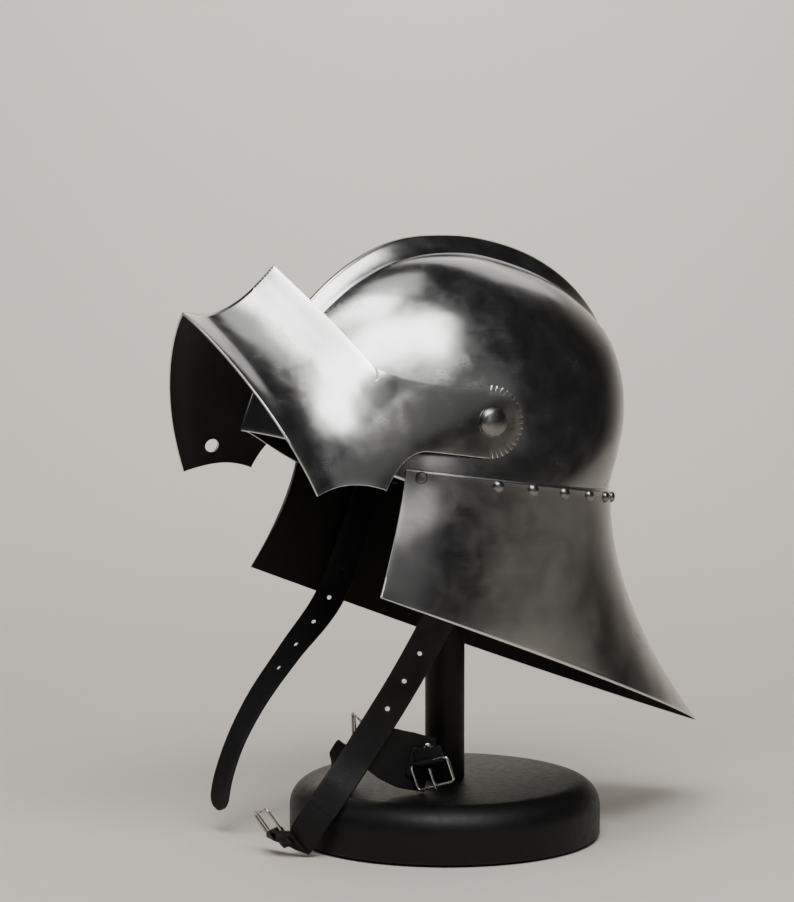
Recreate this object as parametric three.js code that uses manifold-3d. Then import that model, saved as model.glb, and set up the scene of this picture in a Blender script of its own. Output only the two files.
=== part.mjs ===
// A steel sallet helmet with a raised visor, on its plain round display stand.
// Millimetres, +Z up. The origin is the centre of the stand's underside, the face looks along -Y
// and the wearer's left is +X. The helmet is modelled level, on its waist line, and leans back.
import * as THREE from "three";
import { mergeVertices } from "three/addons/utils/BufferGeometryUtils.js";
import Module from "manifold-3d";

const wasm = await Module();
wasm.setup();

// Plates and clearances
const skullWall = 1.8;
const tailWall = 1.6;
const visorWall = 1.8;
const seatGap = 0.35;
const tailGap = 0.85;
const strapWall = 2.6;

// How the helmet sits on its stand
const waistHeight = 259;
const lean = THREE.MathUtils.degToRad(7.9);

// Skull: a bowl over a waist line, with a raised comb
const skullHalfWidth = 94;
const skullMiddle = 15;
const skirtDepth = 16;
const crownRise = 168;
const browRise = 11.3;
const browHalfWidth = 88;
const browPower = 2.2;
const combHeight = 13.5;
const combHalfWidth = 9;

// Tail: the neck guard riveted round the skull
const cheekDepth = 86.3;
const cheekReach = 109.7;
const cheekSlope = 18.7;
const cheekStart = cheekReach - cheekSlope;
const cheekHalfWidth = 93;
const tailHalfWidth = 97.2;
const tailReach = 225;
const tipDepth = 165;
const flarePower = 1.7;

// Visor, measured from its front rim: back along it, and down from its ridge
const prowReach = 217.1;
const prowRise = 85.5;
const rimLean = THREE.MathUtils.degToRad(59.8);
const rimLength = 126;
const bandDepth = 74;
const visorSpan = 103;
const visorDrop = 145;
const ridgeDip = 10;
const flangeRise = 4;
const pivotBack = 26;
const pivotRise = 37.5;
const armEndRadius = 24.5;
const notchCount = 18;
const notchDepth = 1.3;
const cheekHoleRadius = 4.8;
const cheekHoleUp = 10.5;
const cheekHoleBack = 24;

// Places on the visor's outline, measured from its pivot: forward and up, or forward and down
const curlAhead = 84;
const curlUp = 26.5;
const cuspAhead = 76;
const cuspDown = 53;
const archRise = 6.5;
const notchFrom = -92;
const notchTo = 100;

// Rivets
const pivotHeadRadius = 10.2;
const pivotHeadRise = 5.5;
const pivotShankRadius = 3.5;
const rivetRadius = 4.1;
const rivetRise = 2.8;
const rivetDrop = 5;
const rivetsPerSide = 7;
const bareCheek = 65.6;
const flushRadius = 3.6;
const flushInset = 9;

// Stand
const baseRadius = 110;
const baseHeight = 40;
const baseFlat = 92;
const filletRise = 18;
const baseFoot = 107;
const footRise = 3;
const postRadius = 14;
const capRadius = 30;
const capBall = 42;
const capRim = 6;
const capTaper = 8;

// Leather and its buckles
const strapWidth = 22;
const chinStrapWidth = 24;
const padWidth = 38;
const strapHoleRadius = 2.1;
const strapHolePitch = 23.2;
const nearHoleStart = 141;
const nearHoleCount = 3;
const farHoleStart = 91;
const farHoleCount = 5;
const buckleWire = 2.2;
const buckleLong = 30;
const buckleShort = 20;
const loopWall = 2;
const loopLength = 14;

// One row per angle round the skull's cross axis, from the face (0) over the crown to the nape (180).
// reach and comb are shares of crownRise and combHeight; fullness and keel shape the section.
const skullSections = [
  { angle: 0, reach: 1.06, fullness: 2.3, keel: 0.87, comb: 0.08 },
  { angle: 9, reach: 1.065, fullness: 2.3, keel: 0.87, comb: 0.12 },
  { angle: 25, reach: 1.066, fullness: 2.25, keel: 0.8, comb: 0.25 },
  { angle: 41, reach: 1.056, fullness: 2.15, keel: 0.68, comb: 0.52 },
  { angle: 53, reach: 1.05, fullness: 2.05, keel: 0.58, comb: 0.76 },
  { angle: 64, reach: 1.045, fullness: 2, keel: 0.53, comb: 0.88 },
  { angle: 79, reach: 1.017, fullness: 2, keel: 0.5, comb: 0.92 },
  { angle: 95, reach: 0.986, fullness: 2, keel: 0.5, comb: 1 },
  { angle: 110, reach: 0.973, fullness: 2, keel: 0.5, comb: 0.86 },
  { angle: 125, reach: 0.954, fullness: 2, keel: 0.5, comb: 0.5 },
  { angle: 135, reach: 0.9, fullness: 2, keel: 0.5, comb: 0.32 },
  { angle: 145, reach: 0.822, fullness: 2.05, keel: 0.5, comb: 0.14 },
  { angle: 154, reach: 0.738, fullness: 2.1, keel: 0.5, comb: 0.04 },
  { angle: 167, reach: 0.65, fullness: 2.1, keel: 0.5, comb: 0 },
  { angle: 180, reach: 0.629, fullness: 2.1, keel: 0.5, comb: 0 },
];

// One row per depth behind the visor's rim, as a share of bandDepth.
// span is a share of visorSpan, ridge of ridgeDip, point shapes the arch, flange is a share of flangeRise.
const visorSections = [
  { depth: -0.2, span: 1.01, ridge: -0.25, point: 0.9, flange: 0 },
  { depth: 0, span: 1, ridge: 0, point: 0.9, flange: 0 },
  { depth: 0.2, span: 0.98, ridge: 0.8, point: 0.92, flange: 0 },
  { depth: 0.42, span: 0.975, ridge: 1, point: 0.98, flange: 0 },
  { depth: 0.66, span: 0.968, ridge: 0.72, point: 1.04, flange: 0.15 },
  { depth: 0.86, span: 0.962, ridge: 0.2, point: 1.09, flange: 0.6 },
  { depth: 1, span: 0.958, ridge: -0.2, point: 1.12, flange: 1 },
  { depth: 1.15, span: 0.957, ridge: -0.5, point: 1.12, flange: 1.2 },
  { depth: 1.45, span: 0.956, ridge: -0.6, point: 1.1, flange: 1.2 },
  { depth: 1.85, span: 0.943, ridge: -0.6, point: 1, flange: 1.2 },
  { depth: 2.4, span: 0.937, ridge: -0.6, point: 0.9, flange: 1.2 },
];

const steel = (name, color, roughness) => {
  const material = new THREE.MeshStandardMaterial({ color, roughness, metalness: 1 });
  material.name = name;
  return material;
};
const polishedSteel = steel("polished steel", "#b4b4b3", 0.26);
const rivetSteel = steel("rivet steel", "#9c9b9a", 0.3);
const buckleSteel = steel("nickelled wire", "#b9b8b6", 0.28);
const blackLeather = new THREE.MeshStandardMaterial({ color: "#1b1a1d", roughness: 0.55, metalness: 0 });
const blackPaint = new THREE.MeshStandardMaterial({ color: "#1a1a1b", roughness: 0.42, metalness: 0 });

// Value of one column of a table at a place between its rows, smooth through every row.
function between(rows, place, column, at) {
  const last = rows.length - 1;
  let i = 0;
  while (i < last - 1 && rows[i + 1][place] <= at) i += 1;
  const slope = (k) => {
    const a = rows[Math.max(k - 1, 0)];
    const b = rows[Math.min(k + 1, last)];
    return (b[column] - a[column]) / (b[place] - a[place]);
  };
  const step = rows[i + 1][place] - rows[i][place];
  const t = THREE.MathUtils.clamp((at - rows[i][place]) / step, 0, 1);
  const rise = t * t * (3 - 2 * t);
  const start = slope(i) * step * t * (1 - t) * (1 - t);
  const end = slope(i + 1) * step * t * t * (1 - t);
  return rows[i][column] + (rows[i + 1][column] - rows[i][column]) * rise + start - end;
}

const steps = (count, from = 0, to = 1) =>
  Array.from({ length: count + 1 }, (_, i) => from + ((to - from) * i) / count);

// Turns a mesh into a solid and back
function solid(geometry) {
  const bare = geometry.clone();
  bare.deleteAttribute("normal");
  bare.deleteAttribute("uv");
  const merged = mergeVertices(bare, 1e-4);
  const vertProperties = new Float32Array(merged.attributes.position.array);
  const triVerts = new Uint32Array(merged.index.array);
  return new wasm.Manifold(new wasm.Mesh({ numProp: 3, vertProperties, triVerts }));
}

function geometryOf(body) {
  const { numProp, vertProperties, triVerts } = body.getMesh();
  const geometry = new THREE.BufferGeometry();
  const position = new Float32Array((vertProperties.length / numProp) * 3);
  for (let i = 0; i < position.length / 3; i += 1) {
    for (let k = 0; k < 3; k += 1) position[3 * i + k] = vertProperties[numProp * i + k];
  }
  geometry.setAttribute("position", new THREE.BufferAttribute(position, 3));
  geometry.setIndex(new THREE.BufferAttribute(new Uint32Array(triVerts), 1));
  return geometry;
}

// A plate between an outer and an inner sheet, both the same grid of points, closed round its edge.
// The rows run across the plate and the points of a row run to the left of the rows, seen from outside.
function plate(outer, inner) {
  const rows = outer.length;
  const columns = outer[0].length;
  const points = [...outer.flat(), ...inner.flat()];
  const under = rows * columns;
  const at = (r, c) => r * columns + c;
  const index = [];
  const quad = (a, b, c, d) => index.push(a, b, c, a, c, d);
  for (let r = 0; r < rows - 1; r += 1) {
    for (let c = 0; c < columns - 1; c += 1) {
      quad(at(r, c), at(r, c + 1), at(r + 1, c + 1), at(r + 1, c));
      quad(under + at(r, c), under + at(r + 1, c), under + at(r + 1, c + 1), under + at(r, c + 1));
    }
  }
  for (let c = 0; c < columns - 1; c += 1) {
    quad(at(0, c), under + at(0, c), under + at(0, c + 1), at(0, c + 1));
    const r = rows - 1;
    quad(at(r, c), at(r, c + 1), under + at(r, c + 1), under + at(r, c));
  }
  for (let r = 0; r < rows - 1; r += 1) {
    quad(at(r, 0), at(r + 1, 0), under + at(r + 1, 0), under + at(r, 0));
    const c = columns - 1;
    quad(at(r, c), under + at(r, c), under + at(r + 1, c), at(r + 1, c));
  }
  const geometry = new THREE.BufferGeometry();
  geometry.setAttribute("position", new THREE.Float32BufferAttribute(points.flatMap((p) => p.toArray()), 3));
  geometry.setIndex(index);
  return cleaned(geometry);
}

// Merges points that fall together and drops the flat triangles that this leaves
function cleaned(geometry) {
  const merged = mergeVertices(geometry, 1e-4);
  const source = merged.index.array;
  const kept = [];
  for (let i = 0; i < source.length; i += 3) {
    const [a, b, c] = [source[i], source[i + 1], source[i + 2]];
    if (a !== b && b !== c && c !== a) kept.push(a, b, c);
  }
  merged.setIndex(kept);
  return merged;
}

// Half width and reach of the skull's section: side runs from the middle line (0) to the cross axis (1)
function skullPoint(angle, side, grow = 0) {
  const share = Math.cos((Math.PI / 2) * Math.min(Math.abs(side), 1));
  const fullness = between(skullSections, "angle", "fullness", angle);
  const keel = between(skullSections, "angle", "keel", angle);
  const x = (skullHalfWidth + grow) * Math.pow(Math.max(1 - Math.pow(share, fullness), 0), keel);
  const reach = (crownRise * between(skullSections, "angle", "reach", angle) + grow) * share;
  const foot = combHalfWidth + grow * 0.6;
  const ridge = Math.pow(Math.max(1 - x / foot, 0), 1.35);
  const comb = combHeight * between(skullSections, "angle", "comb", angle) * ridge;
  const turn = THREE.MathUtils.degToRad(angle);
  return new THREE.Vector3(
    Math.sign(side) * x,
    skullMiddle - (reach + comb) * Math.cos(turn),
    -skirtDepth + (reach + comb) * Math.sin(turn),
  );
}

// The side share at which the skull's section is a given distance from the middle line
function sideAt(x, angle) {
  const fullness = between(skullSections, "angle", "fullness", angle);
  const keel = between(skullSections, "angle", "keel", angle);
  const share = Math.pow(1 - Math.pow(x / skullHalfWidth, 1 / keel), 1 / fullness);
  return Math.acos(share) / (Math.PI / 2);
}

// Angle at which the brow edge cuts a section
function browAngle(side) {
  const level = skullPoint(0, side);
  const edge = Math.max(1 - Math.pow(Math.abs(level.x) / browHalfWidth, browPower), 0);
  const reach = skullMiddle - level.y;
  return THREE.MathUtils.radToDeg(Math.asin(Math.min(((browRise + skirtDepth) * edge) / Math.max(reach, 1), 1)));
}

function skullSheet(grow) {
  const rowCount = 25;
  const combColumns = [0, 0.22, 0.5, 0.78, 1].map((share) => share * combHalfWidth);
  const bowlColumns = steps(9).slice(1);
  const sheet = [];
  for (const row of steps(rowCount)) {
    const half = [];
    const place = (x, rest) => {
      const angleGuess = 180 * row;
      const start = sideAt(x, angleGuess);
      return start + (1 - start) * rest;
    };
    for (const x of combColumns) half.push(place(x, 0));
    for (const rest of bowlColumns) half.push(place(combHalfWidth, rest));
    const sides = [...half.slice(1).reverse().map((s) => -s), ...half];
    sheet.push(sides.map((side) => {
      const start = browAngle(side);
      return skullPoint(start + (180 - start) * row, side, grow);
    }));
  }
  return sheet;
}

// Tail: side runs from the cheek's front edge over the widest place (middle) to the nape
function tailLine(grow) {
  const front = steps(5).map((s) => 1 - s).slice(0, 5);
  const back = steps(12);
  const top = [];
  const bottom = [];
  const cheekShare = cheekStart / (crownRise * skullSections[0].reach);
  for (const s of front) {
    const share = cheekShare * Math.sin((Math.PI / 2) * s);
    const side = Math.acos(share) / (Math.PI / 2);
    const t = skullPoint(0, side, grow);
    top.push(new THREE.Vector3(t.x, t.y, 0));
    const out = share / cheekShare;
    const x = tailHalfWidth + grow - (tailHalfWidth - cheekHalfWidth) * out * out;
    bottom.push(new THREE.Vector3(x, skullMiddle - cheekReach * out, 0));
  }
  for (const s of back) {
    const t = skullPoint(180, 1 - s, grow);
    top.push(new THREE.Vector3(t.x, t.y, 0));
    const share = Math.cos((Math.PI / 2) * (1 - s));
    const x = (tailHalfWidth + grow) * Math.pow(Math.max(1 - Math.pow(share, 2.2), 0), 0.85);
    bottom.push(new THREE.Vector3(x, skullMiddle + (tailReach + grow * 1.4) * share, 0));
  }
  return { top, bottom };
}

// Depth of the tail's lower edge below the waist at a place along the helmet
function lowerEdge(y) {
  const start = skullMiddle - cheekReach;
  const end = skullMiddle + tailReach;
  return cheekDepth + ((tipDepth - cheekDepth) * (y - start)) / (end - start);
}

function tailPoint(top, bottom, down) {
  const point = top.clone().lerp(bottom, Math.pow(down, flarePower));
  point.z = -lowerEdge(bottom.y) * down;
  return point;
}

function tailSheet(grow) {
  const { top, bottom } = tailLine(grow);
  return steps(8).map((down) => {
    const half = top.map((t, i) => tailPoint(t, bottom[i], down));
    const mirrored = half.slice(0, -1).map((p) => new THREE.Vector3(-p.x, p.y, p.z));
    return [...mirrored, ...half.reverse()];
  });
}

// Visor frame: the rim is a straight line seen from the side, from the prow down to the corners
const downRim = new THREE.Vector3(0, Math.cos(rimLean), -Math.sin(rimLean));
const behindRim = new THREE.Vector3(0, Math.sin(rimLean), Math.cos(rimLean));
const prow = new THREE.Vector3(0, -prowReach, prowRise);

function visorPoint(depth, drop, side, grow) {
  const share = depth / bandDepth;
  const span = visorSpan * between(visorSections, "depth", "span", share) + grow;
  const ridge = ridgeDip * between(visorSections, "depth", "ridge", share) - grow * 1.2;
  const point = between(visorSections, "depth", "point", share);
  const rest = Math.max(1 - drop / visorDrop, 0);
  const fade = 1 - THREE.MathUtils.smoothstep(drop, rimLength * 0.55, rimLength * 0.8);
  const flange = flangeRise * between(visorSections, "depth", "flange", share) * fade;
  const x = (span + flange) * Math.pow(1 - rest * rest, point);
  return prow.clone()
    .addScaledVector(behindRim, depth)
    .addScaledVector(downRim, ridge + drop)
    .add(new THREE.Vector3(side * x, 0, 0));
}

function visorSheet(grow) {
  const depths = steps(18, -0.135, 2.38).map((share) => share * bandDepth);
  const shares = [0, 0.028, 0.069, 0.131, 0.214, 0.317, 0.428, 0.538, 0.648, 0.759, 0.883, 1.021, 1.186, 1.31];
  const drops = shares.map((share) => share * visorDrop);
  return depths.map((depth) => {
    const near = drops.map((drop) => visorPoint(depth, drop, 1, grow));
    const far = drops.slice(1).reverse().map((drop) => visorPoint(depth, drop, -1, grow));
    return [...far, ...near];
  });
}

const pivot = new THREE.Vector3(0, -pivotBack, pivotRise);

// The visor's outline from the side, as a shape in its own Y and Z
function visorOutline() {
  const corner = prow.clone().addScaledVector(downRim, rimLength);
  const apex = prow.clone().addScaledVector(behindRim, bandDepth).addScaledVector(downRim, -2);
  const curl = new THREE.Vector2(pivot.y - curlAhead, pivot.z + curlUp);
  const cusp = new THREE.Vector2(pivot.y - cuspAhead, pivot.z - cuspDown);
  const shape = new THREE.Shape();
  const beyond = prow.clone().addScaledVector(downRim, -16);
  shape.moveTo(beyond.y, beyond.z);
  shape.lineTo(corner.y, corner.z);
  shape.quadraticCurveTo((corner.y + cusp.x) / 2, Math.max(corner.z, cusp.y) + archRise, cusp.x, cusp.y);
  const armLow = new THREE.Vector2(pivot.y - 2, pivot.z - armEndRadius);
  shape.bezierCurveTo(cusp.x + 5, cusp.y + 14, cusp.x + 14, armLow.y - 1, armLow.x - 46, armLow.y);
  shape.lineTo(armLow.x, armLow.y);
  const pitch = (notchTo - notchFrom) / notchCount;
  for (let i = 0; i <= notchCount; i += 1) {
    const turn = THREE.MathUtils.degToRad(notchFrom + pitch * i);
    const half = THREE.MathUtils.degToRad(pitch / 2);
    const tip = new THREE.Vector2(Math.cos(turn), Math.sin(turn)).multiplyScalar(armEndRadius);
    const root = new THREE.Vector2(Math.cos(turn + half), Math.sin(turn + half));
    root.multiplyScalar(armEndRadius - notchDepth);
    shape.lineTo(pivot.y + tip.x, pivot.z + tip.y);
    if (i < notchCount) shape.lineTo(pivot.y + root.x, pivot.z + root.y);
  }
  shape.bezierCurveTo(pivot.y - 30, pivot.z + 18.5, curl.x + 25, curl.y - 8, curl.x, curl.y);
  const over = apex.clone().addScaledVector(downRim, -16);
  shape.lineTo(over.y, over.z);
  shape.closePath();
  return shape;
}

// A shape drawn in Y and Z, made a slab across the helmet
function crossSlab(shape, halfWidth, curveSegments = 8) {
  const slab = new THREE.ExtrudeGeometry(shape, { depth: 2 * halfWidth, bevelEnabled: false, curveSegments });
  slab.applyMatrix4(new THREE.Matrix4().set(0, 0, 1, -halfWidth, 1, 0, 0, 0, 0, 1, 0, 0, 0, 0, 0, 1));
  return slab;
}

function crossPin(radius, from, to, y, z, sides = 20) {
  const pin = new THREE.CylinderGeometry(radius, radius, to - from, sides);
  pin.rotateZ(-Math.PI / 2);
  pin.translate((from + to) / 2, y, z);
  return pin;
}

// Half width of the visor's arm and of the skull beside the pivot
function visorHalfWidthAt(y, z, grow = 0) {
  const from = new THREE.Vector3(0, y, z).sub(prow);
  const depth = from.dot(behindRim);
  const ridge = ridgeDip * between(visorSections, "depth", "ridge", depth / bandDepth) - grow * 1.2;
  return visorPoint(depth, from.dot(downRim) - ridge, 1, grow).x;
}

function skullHalfWidthAt(y, z, grow = 0) {
  const turn = THREE.MathUtils.radToDeg(Math.atan2(z + skirtDepth, skullMiddle - y));
  const reach = crownRise * between(skullSections, "angle", "reach", turn) + grow;
  const share = Math.hypot(z + skirtDepth, skullMiddle - y) / reach;
  return skullPoint(turn, Math.acos(Math.min(share, 1)) / (Math.PI / 2), grow).x;
}

function makeSkull() {
  const bowl = solid(plate(skullSheet(0), skullSheet(-skullWall)));
  const reach = skullHalfWidth + skullWall;
  const holes = crossPin(pivotShankRadius + seatGap, -reach, reach, pivot.y, pivot.z, 16);
  return geometryOf(bowl.subtract(solid(holes)));
}

// The flush rivets sit in the plate at the front of the cheeks
function flushPlace() {
  const y = skullMiddle - cheekStart + flushInset;
  const halfWidth = (at) => skullHalfWidthAt(at, -skirtDepth, tailGap + tailWall / 2);
  const slope = (halfWidth(y + 1) - halfWidth(y - 1)) / 2;
  return { at: new THREE.Vector3(halfWidth(y), y, -rivetDrop), turn: Math.atan(slope) };
}

function makeTail() {
  const guard = solid(plate(tailSheet(tailGap + tailWall), tailSheet(tailGap)));
  const flush = flushPlace().at;
  const reach = tailHalfWidth + 10;
  return geometryOf(guard.subtract(solid(crossPin(flushRadius + seatGap, -reach, reach, flush.y, flush.z, 16))));
}

function makeVisor() {
  const sheet = solid(plate(visorSheet(0), visorSheet(-visorWall)));
  const reach = visorSpan + 20;
  const trimmed = sheet.intersect(solid(crossSlab(visorOutline(), reach)));
  const holes = solid(crossPin(pivotShankRadius + seatGap, -reach, reach, pivot.y, pivot.z, 16));
  const corner = prow.clone().addScaledVector(downRim, rimLength - cheekHoleUp).addScaledVector(behindRim, cheekHoleBack);
  const cheekHole = solid(crossPin(cheekHoleRadius, -reach, 0, corner.y, corner.z, 20));
  return geometryOf(trimmed.subtract(holes).subtract(cheekHole));
}

// A domed head with a round shank, its seat at the origin and its axis along +X
function domedRivet(radius, rise, shankRadius, shankLength, sides) {
  const outline = [new THREE.Vector2(0, -shankLength)];
  if (shankLength > 0) outline.push(new THREE.Vector2(shankRadius, -shankLength), new THREE.Vector2(shankRadius, 0));
  outline.push(new THREE.Vector2(radius, 0));
  for (const s of steps(4).slice(1, -1)) {
    const turn = (Math.PI / 2) * s;
    outline.push(new THREE.Vector2(radius * Math.cos(turn), rise * Math.sin(turn)));
  }
  outline.push(new THREE.Vector2(0, rise));
  const head = new THREE.LatheGeometry(outline, sides);
  head.rotateZ(-Math.PI / 2);
  return cleaned(bareOf(head));
}

function bareOf(geometry) {
  geometry.deleteAttribute("normal");
  geometry.deleteAttribute("uv");
  return geometry;
}

// Places along the waist, evenly from the nape round to the bare part of the cheek that the visor covers
function rivetPlaces() {
  const { top, bottom } = tailLine(tailGap + tailWall);
  const lineAt = (drop) => {
    const line = top.map((t, i) => tailPoint(t, bottom[i], drop / lowerEdge(bottom[i].y))).reverse();
    return new THREE.CatmullRomCurve3(line);
  };
  const curve = lineAt(rivetDrop);
  const above = lineAt(rivetDrop - rivetRadius);
  const below = lineAt(rivetDrop + rivetRadius);
  const length = curve.getLength();
  const places = [];
  for (const share of steps(rivetsPerSide)) {
    const at = Math.max((share * (length - bareCheek)) / length, 1e-4);
    const point = curve.getPointAt(at);
    const downPlate = below.getPointAt(at).sub(above.getPointAt(at));
    const out = curve.getTangentAt(at).cross(downPlate).normalize();
    if (out.dot(new THREE.Vector3(point.x, point.y - skullMiddle, 0)) < 0) out.negate();
    const lift = 3 * Math.max(below.getPointAt(at).sub(point).dot(out), 0);
    places.push({ point: point.addScaledVector(out, 1.5 * seatGap + lift), out });
  }
  return places;
}

// Where the skull's hollow crown stands over the post
function crownOverPost() {
  let best = 0;
  let miss = Infinity;
  for (const angle of steps(120, 50, 110)) {
    const side = sideAt(combHalfWidth, angle);
    const inside = skullPoint(angle, side, -skullWall).applyMatrix4(helmetPlace);
    if (Math.abs(inside.y) < miss) {
      miss = Math.abs(inside.y);
      best = inside.z;
    }
  }
  return best;
}

const helmet = new THREE.Group();
helmet.position.z = waistHeight;
helmet.rotation.x = -lean;
helmet.updateMatrix();
const helmetPlace = helmet.matrix;

function makeBase() {
  const fillet = baseRadius - baseFlat;
  const outline = [new THREE.Vector2(0, 0), new THREE.Vector2(baseFoot, 0), new THREE.Vector2(baseRadius, footRise)];
  for (const s of steps(7)) {
    const turn = (Math.PI / 2) * s;
    const up = baseHeight - filletRise + filletRise * Math.sin(turn);
    outline.push(new THREE.Vector2(baseFlat + fillet * Math.cos(turn), up));
  }
  outline.push(new THREE.Vector2(0, baseHeight));
  return cleaned(bareOf(new THREE.LatheGeometry(outline, 36).rotateX(Math.PI / 2)));
}

function makePost() {
  const top = crownOverPost() - seatGap;
  const rim = top - (capBall - Math.sqrt(capBall * capBall - capRadius * capRadius));
  const outline = [new THREE.Vector2(0, baseHeight + seatGap), new THREE.Vector2(postRadius, baseHeight + seatGap)];
  outline.push(new THREE.Vector2(postRadius, rim - capRim - capTaper), new THREE.Vector2(capRadius, rim - capRim));
  for (const s of steps(5)) {
    const r = capRadius * (1 - s);
    outline.push(new THREE.Vector2(r, top - capBall + Math.sqrt(capBall * capBall - r * r)));
  }
  return cleaned(bareOf(new THREE.LatheGeometry(outline, 24).rotateX(Math.PI / 2)));
}

// A flat strap through stations, each with its centre, the way its face looks, and its width
function strap(stations, wall = strapWall) {
  const corners = stations.map((station, i) => {
    const before = stations[Math.max(i - 1, 0)].at;
    const after = stations[Math.min(i + 1, stations.length - 1)].at;
    const run = after.clone().sub(before).normalize();
    const across = run.clone().cross(station.face).normalize();
    const out = across.clone().cross(run).normalize();
    const corner = (u, v) => station.at.clone()
      .addScaledVector(across, (u * station.wide) / 2)
      .addScaledVector(out, (v * wall) / 2);
    return [corner(-1, -1), corner(1, -1), corner(1, 1), corner(-1, 1)];
  });
  const index = [];
  const quad = (a, b, c, d) => index.push(a, b, c, a, c, d);
  for (let i = 0; i < corners.length - 1; i += 1) {
    for (let k = 0; k < 4; k += 1) {
      const n = (k + 1) % 4;
      quad(4 * i + k, 4 * i + n, 4 * i + 4 + n, 4 * i + 4 + k);
    }
  }
  quad(3, 2, 1, 0);
  const end = 4 * (corners.length - 1);
  quad(end, end + 1, end + 2, end + 3);
  const geometry = new THREE.BufferGeometry();
  geometry.setAttribute("position", new THREE.Float32BufferAttribute(corners.flat().flatMap((p) => p.toArray()), 3));
  geometry.setIndex(index);
  const body = solid(cleaned(geometry));
  return body.volume() > 0 ? body : solid(flipped(geometry));
}

function flipped(geometry) {
  const index = Array.from(geometry.index.array);
  for (let i = 0; i < index.length; i += 3) [index[i], index[i + 1]] = [index[i + 1], index[i]];
  geometry.setIndex(index);
  return cleaned(geometry);
}

// Stations a few millimetres apart on a smooth line through the chosen ones, with a rounded end if asked
function alongRoute(route, count, roundEnd) {
  const curve = new THREE.CatmullRomCurve3(route.map((r) => r.at), false, "centripetal");
  const faces = new THREE.CatmullRomCurve3(route.map((r) => r.face), false, "centripetal");
  const length = curve.getLength();
  const wideAt = (t) => {
    const place = t * (route.length - 1);
    const i = Math.min(Math.floor(place), route.length - 2);
    return THREE.MathUtils.lerp(route[i].wide, route[i + 1].wide, place - i);
  };
  const stations = steps(count).map((s) => {
    const t = curve.getUtoTmapping(s);
    let wide = wideAt(t);
    const left = (1 - s) * length;
    if (roundEnd && left < wide / 2) {
      const share = 1 - left / (wide / 2);
      wide = Math.max(wide * Math.sqrt(Math.max(1 - share * share, 0)), wide * 0.25);
    }
    return { at: curve.getPoint(t), face: faces.getPoint(t).normalize(), wide };
  });
  return { stations, curve, faces, length };
}

function strapHoles(route, firstAt, count) {
  const cuts = [];
  for (let i = 0; i < count; i += 1) {
    const t = route.curve.getUtoTmapping((firstAt + i * strapHolePitch) / route.length);
    const pin = new THREE.CylinderGeometry(strapHoleRadius, strapHoleRadius, strapWall * 3, 10);
    const turn = new THREE.Quaternion();
    turn.setFromUnitVectors(new THREE.Vector3(0, 1, 0), route.faces.getPoint(t).normalize());
    pin.applyQuaternion(turn);
    const at = route.curve.getPoint(t);
    pin.translate(at.x, at.y, at.z);
    cuts.push(solid(pin));
  }
  return cuts;
}

// Inside of the skirt, where the chin straps are riveted, in the stand's frame
const strapInset = seatGap + strapWall / 2;
function strapRoot(side, down) {
  const y = -pivotBack + 16;
  const x = skullHalfWidthAt(y - strapWidth / 2, 8, -skullWall) - strapInset;
  return new THREE.Vector3(side * x, y, 6 - down).applyMatrix4(helmetPlace);
}

const vec = (x, y, z) => new THREE.Vector3(x, y, z);

// A station of the leather that hangs under the helmet. across is a share of skullHalfWidth and ahead of
// baseRadius; up runs from the base's top (0) to the waist (1).
function hanging(across, ahead, up, face, wide) {
  const at = vec(across * skullHalfWidth, -ahead * baseRadius, baseHeight + up * (waistHeight - baseHeight));
  return { at, face: vec(...face), wide };
}

// The near strap hangs straight from its rivet, over the base's rim, to the table
const nearRoute = alongRoute([
  { at: strapRoot(1, 0), face: vec(1, 0, 0), wide: strapWidth },
  { at: strapRoot(1, 20), face: vec(1, 0, -0.1), wide: strapWidth },
  hanging(0.84, 0.218, 0.785, [0.95, -0.25, 0.1], strapWidth),
  hanging(0.553, 0.4, 0.502, [0.88, -0.46, 0.1], strapWidth),
  hanging(0.398, 0.534, 0.334, [0.87, -0.48, 0.1], strapWidth),
  hanging(0.282, 0.779, 0.125, [0.86, -0.5, 0.1], strapWidth),
  hanging(0.303, 0.945, 0.030, [0.82, -0.56, 0.12], strapWidth),
  hanging(0.256, 1.086, -0.071, [0.82, -0.56, 0.12], strapWidth),
  hanging(0.189, 1.133, -0.130, [0.86, -0.5, 0.1], strapWidth * 0.9),
], 28, false);

// The far strap hangs free, curls forward and ends in a rounded tip
const farRoute = alongRoute([
  { at: strapRoot(-1, 0), face: vec(-1, 0, 0), wide: strapWidth },
  { at: strapRoot(-1, 20), face: vec(-1, 0, 0), wide: strapWidth },
  hanging(-0.894, 0.255, 0.753, [-0.95, 0.1, -0.2], strapWidth),
  hanging(-0.872, 0.455, 0.548, [-0.7, 0.6, -0.4], strapWidth),
  hanging(-0.862, 0.745, 0.384, [-0.35, 0.85, -0.42], strapWidth),
  hanging(-0.851, 0.982, 0.242, [-0.3, 0.88, -0.38], strapWidth),
  hanging(-0.84, 1.145, 0.11, [-0.35, 0.88, -0.3], strapWidth),
  hanging(-0.819, 1.245, -0.009, [-0.5, 0.85, -0.15], strapWidth),
  hanging(-0.809, 1.282, -0.105, [-0.5, 0.85, 0], strapWidth),
], 28, true);

// The chin pad is a broad flap behind the near strap, and its two buckles hang at its ends
const padRoute = alongRoute([
  hanging(0.277, 0.697, 0.149, [0.87, -0.48, 0.1], padWidth * 0.7),
  hanging(0.32, 0.59, 0.131, [0.87, -0.48, 0.1], padWidth * 0.9),
  hanging(0.36, 0.465, 0.106, [0.87, -0.48, 0.1], padWidth),
  hanging(0.414, 0.317, 0.086, [0.87, -0.48, 0.1], padWidth),
], 10, false);

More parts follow.
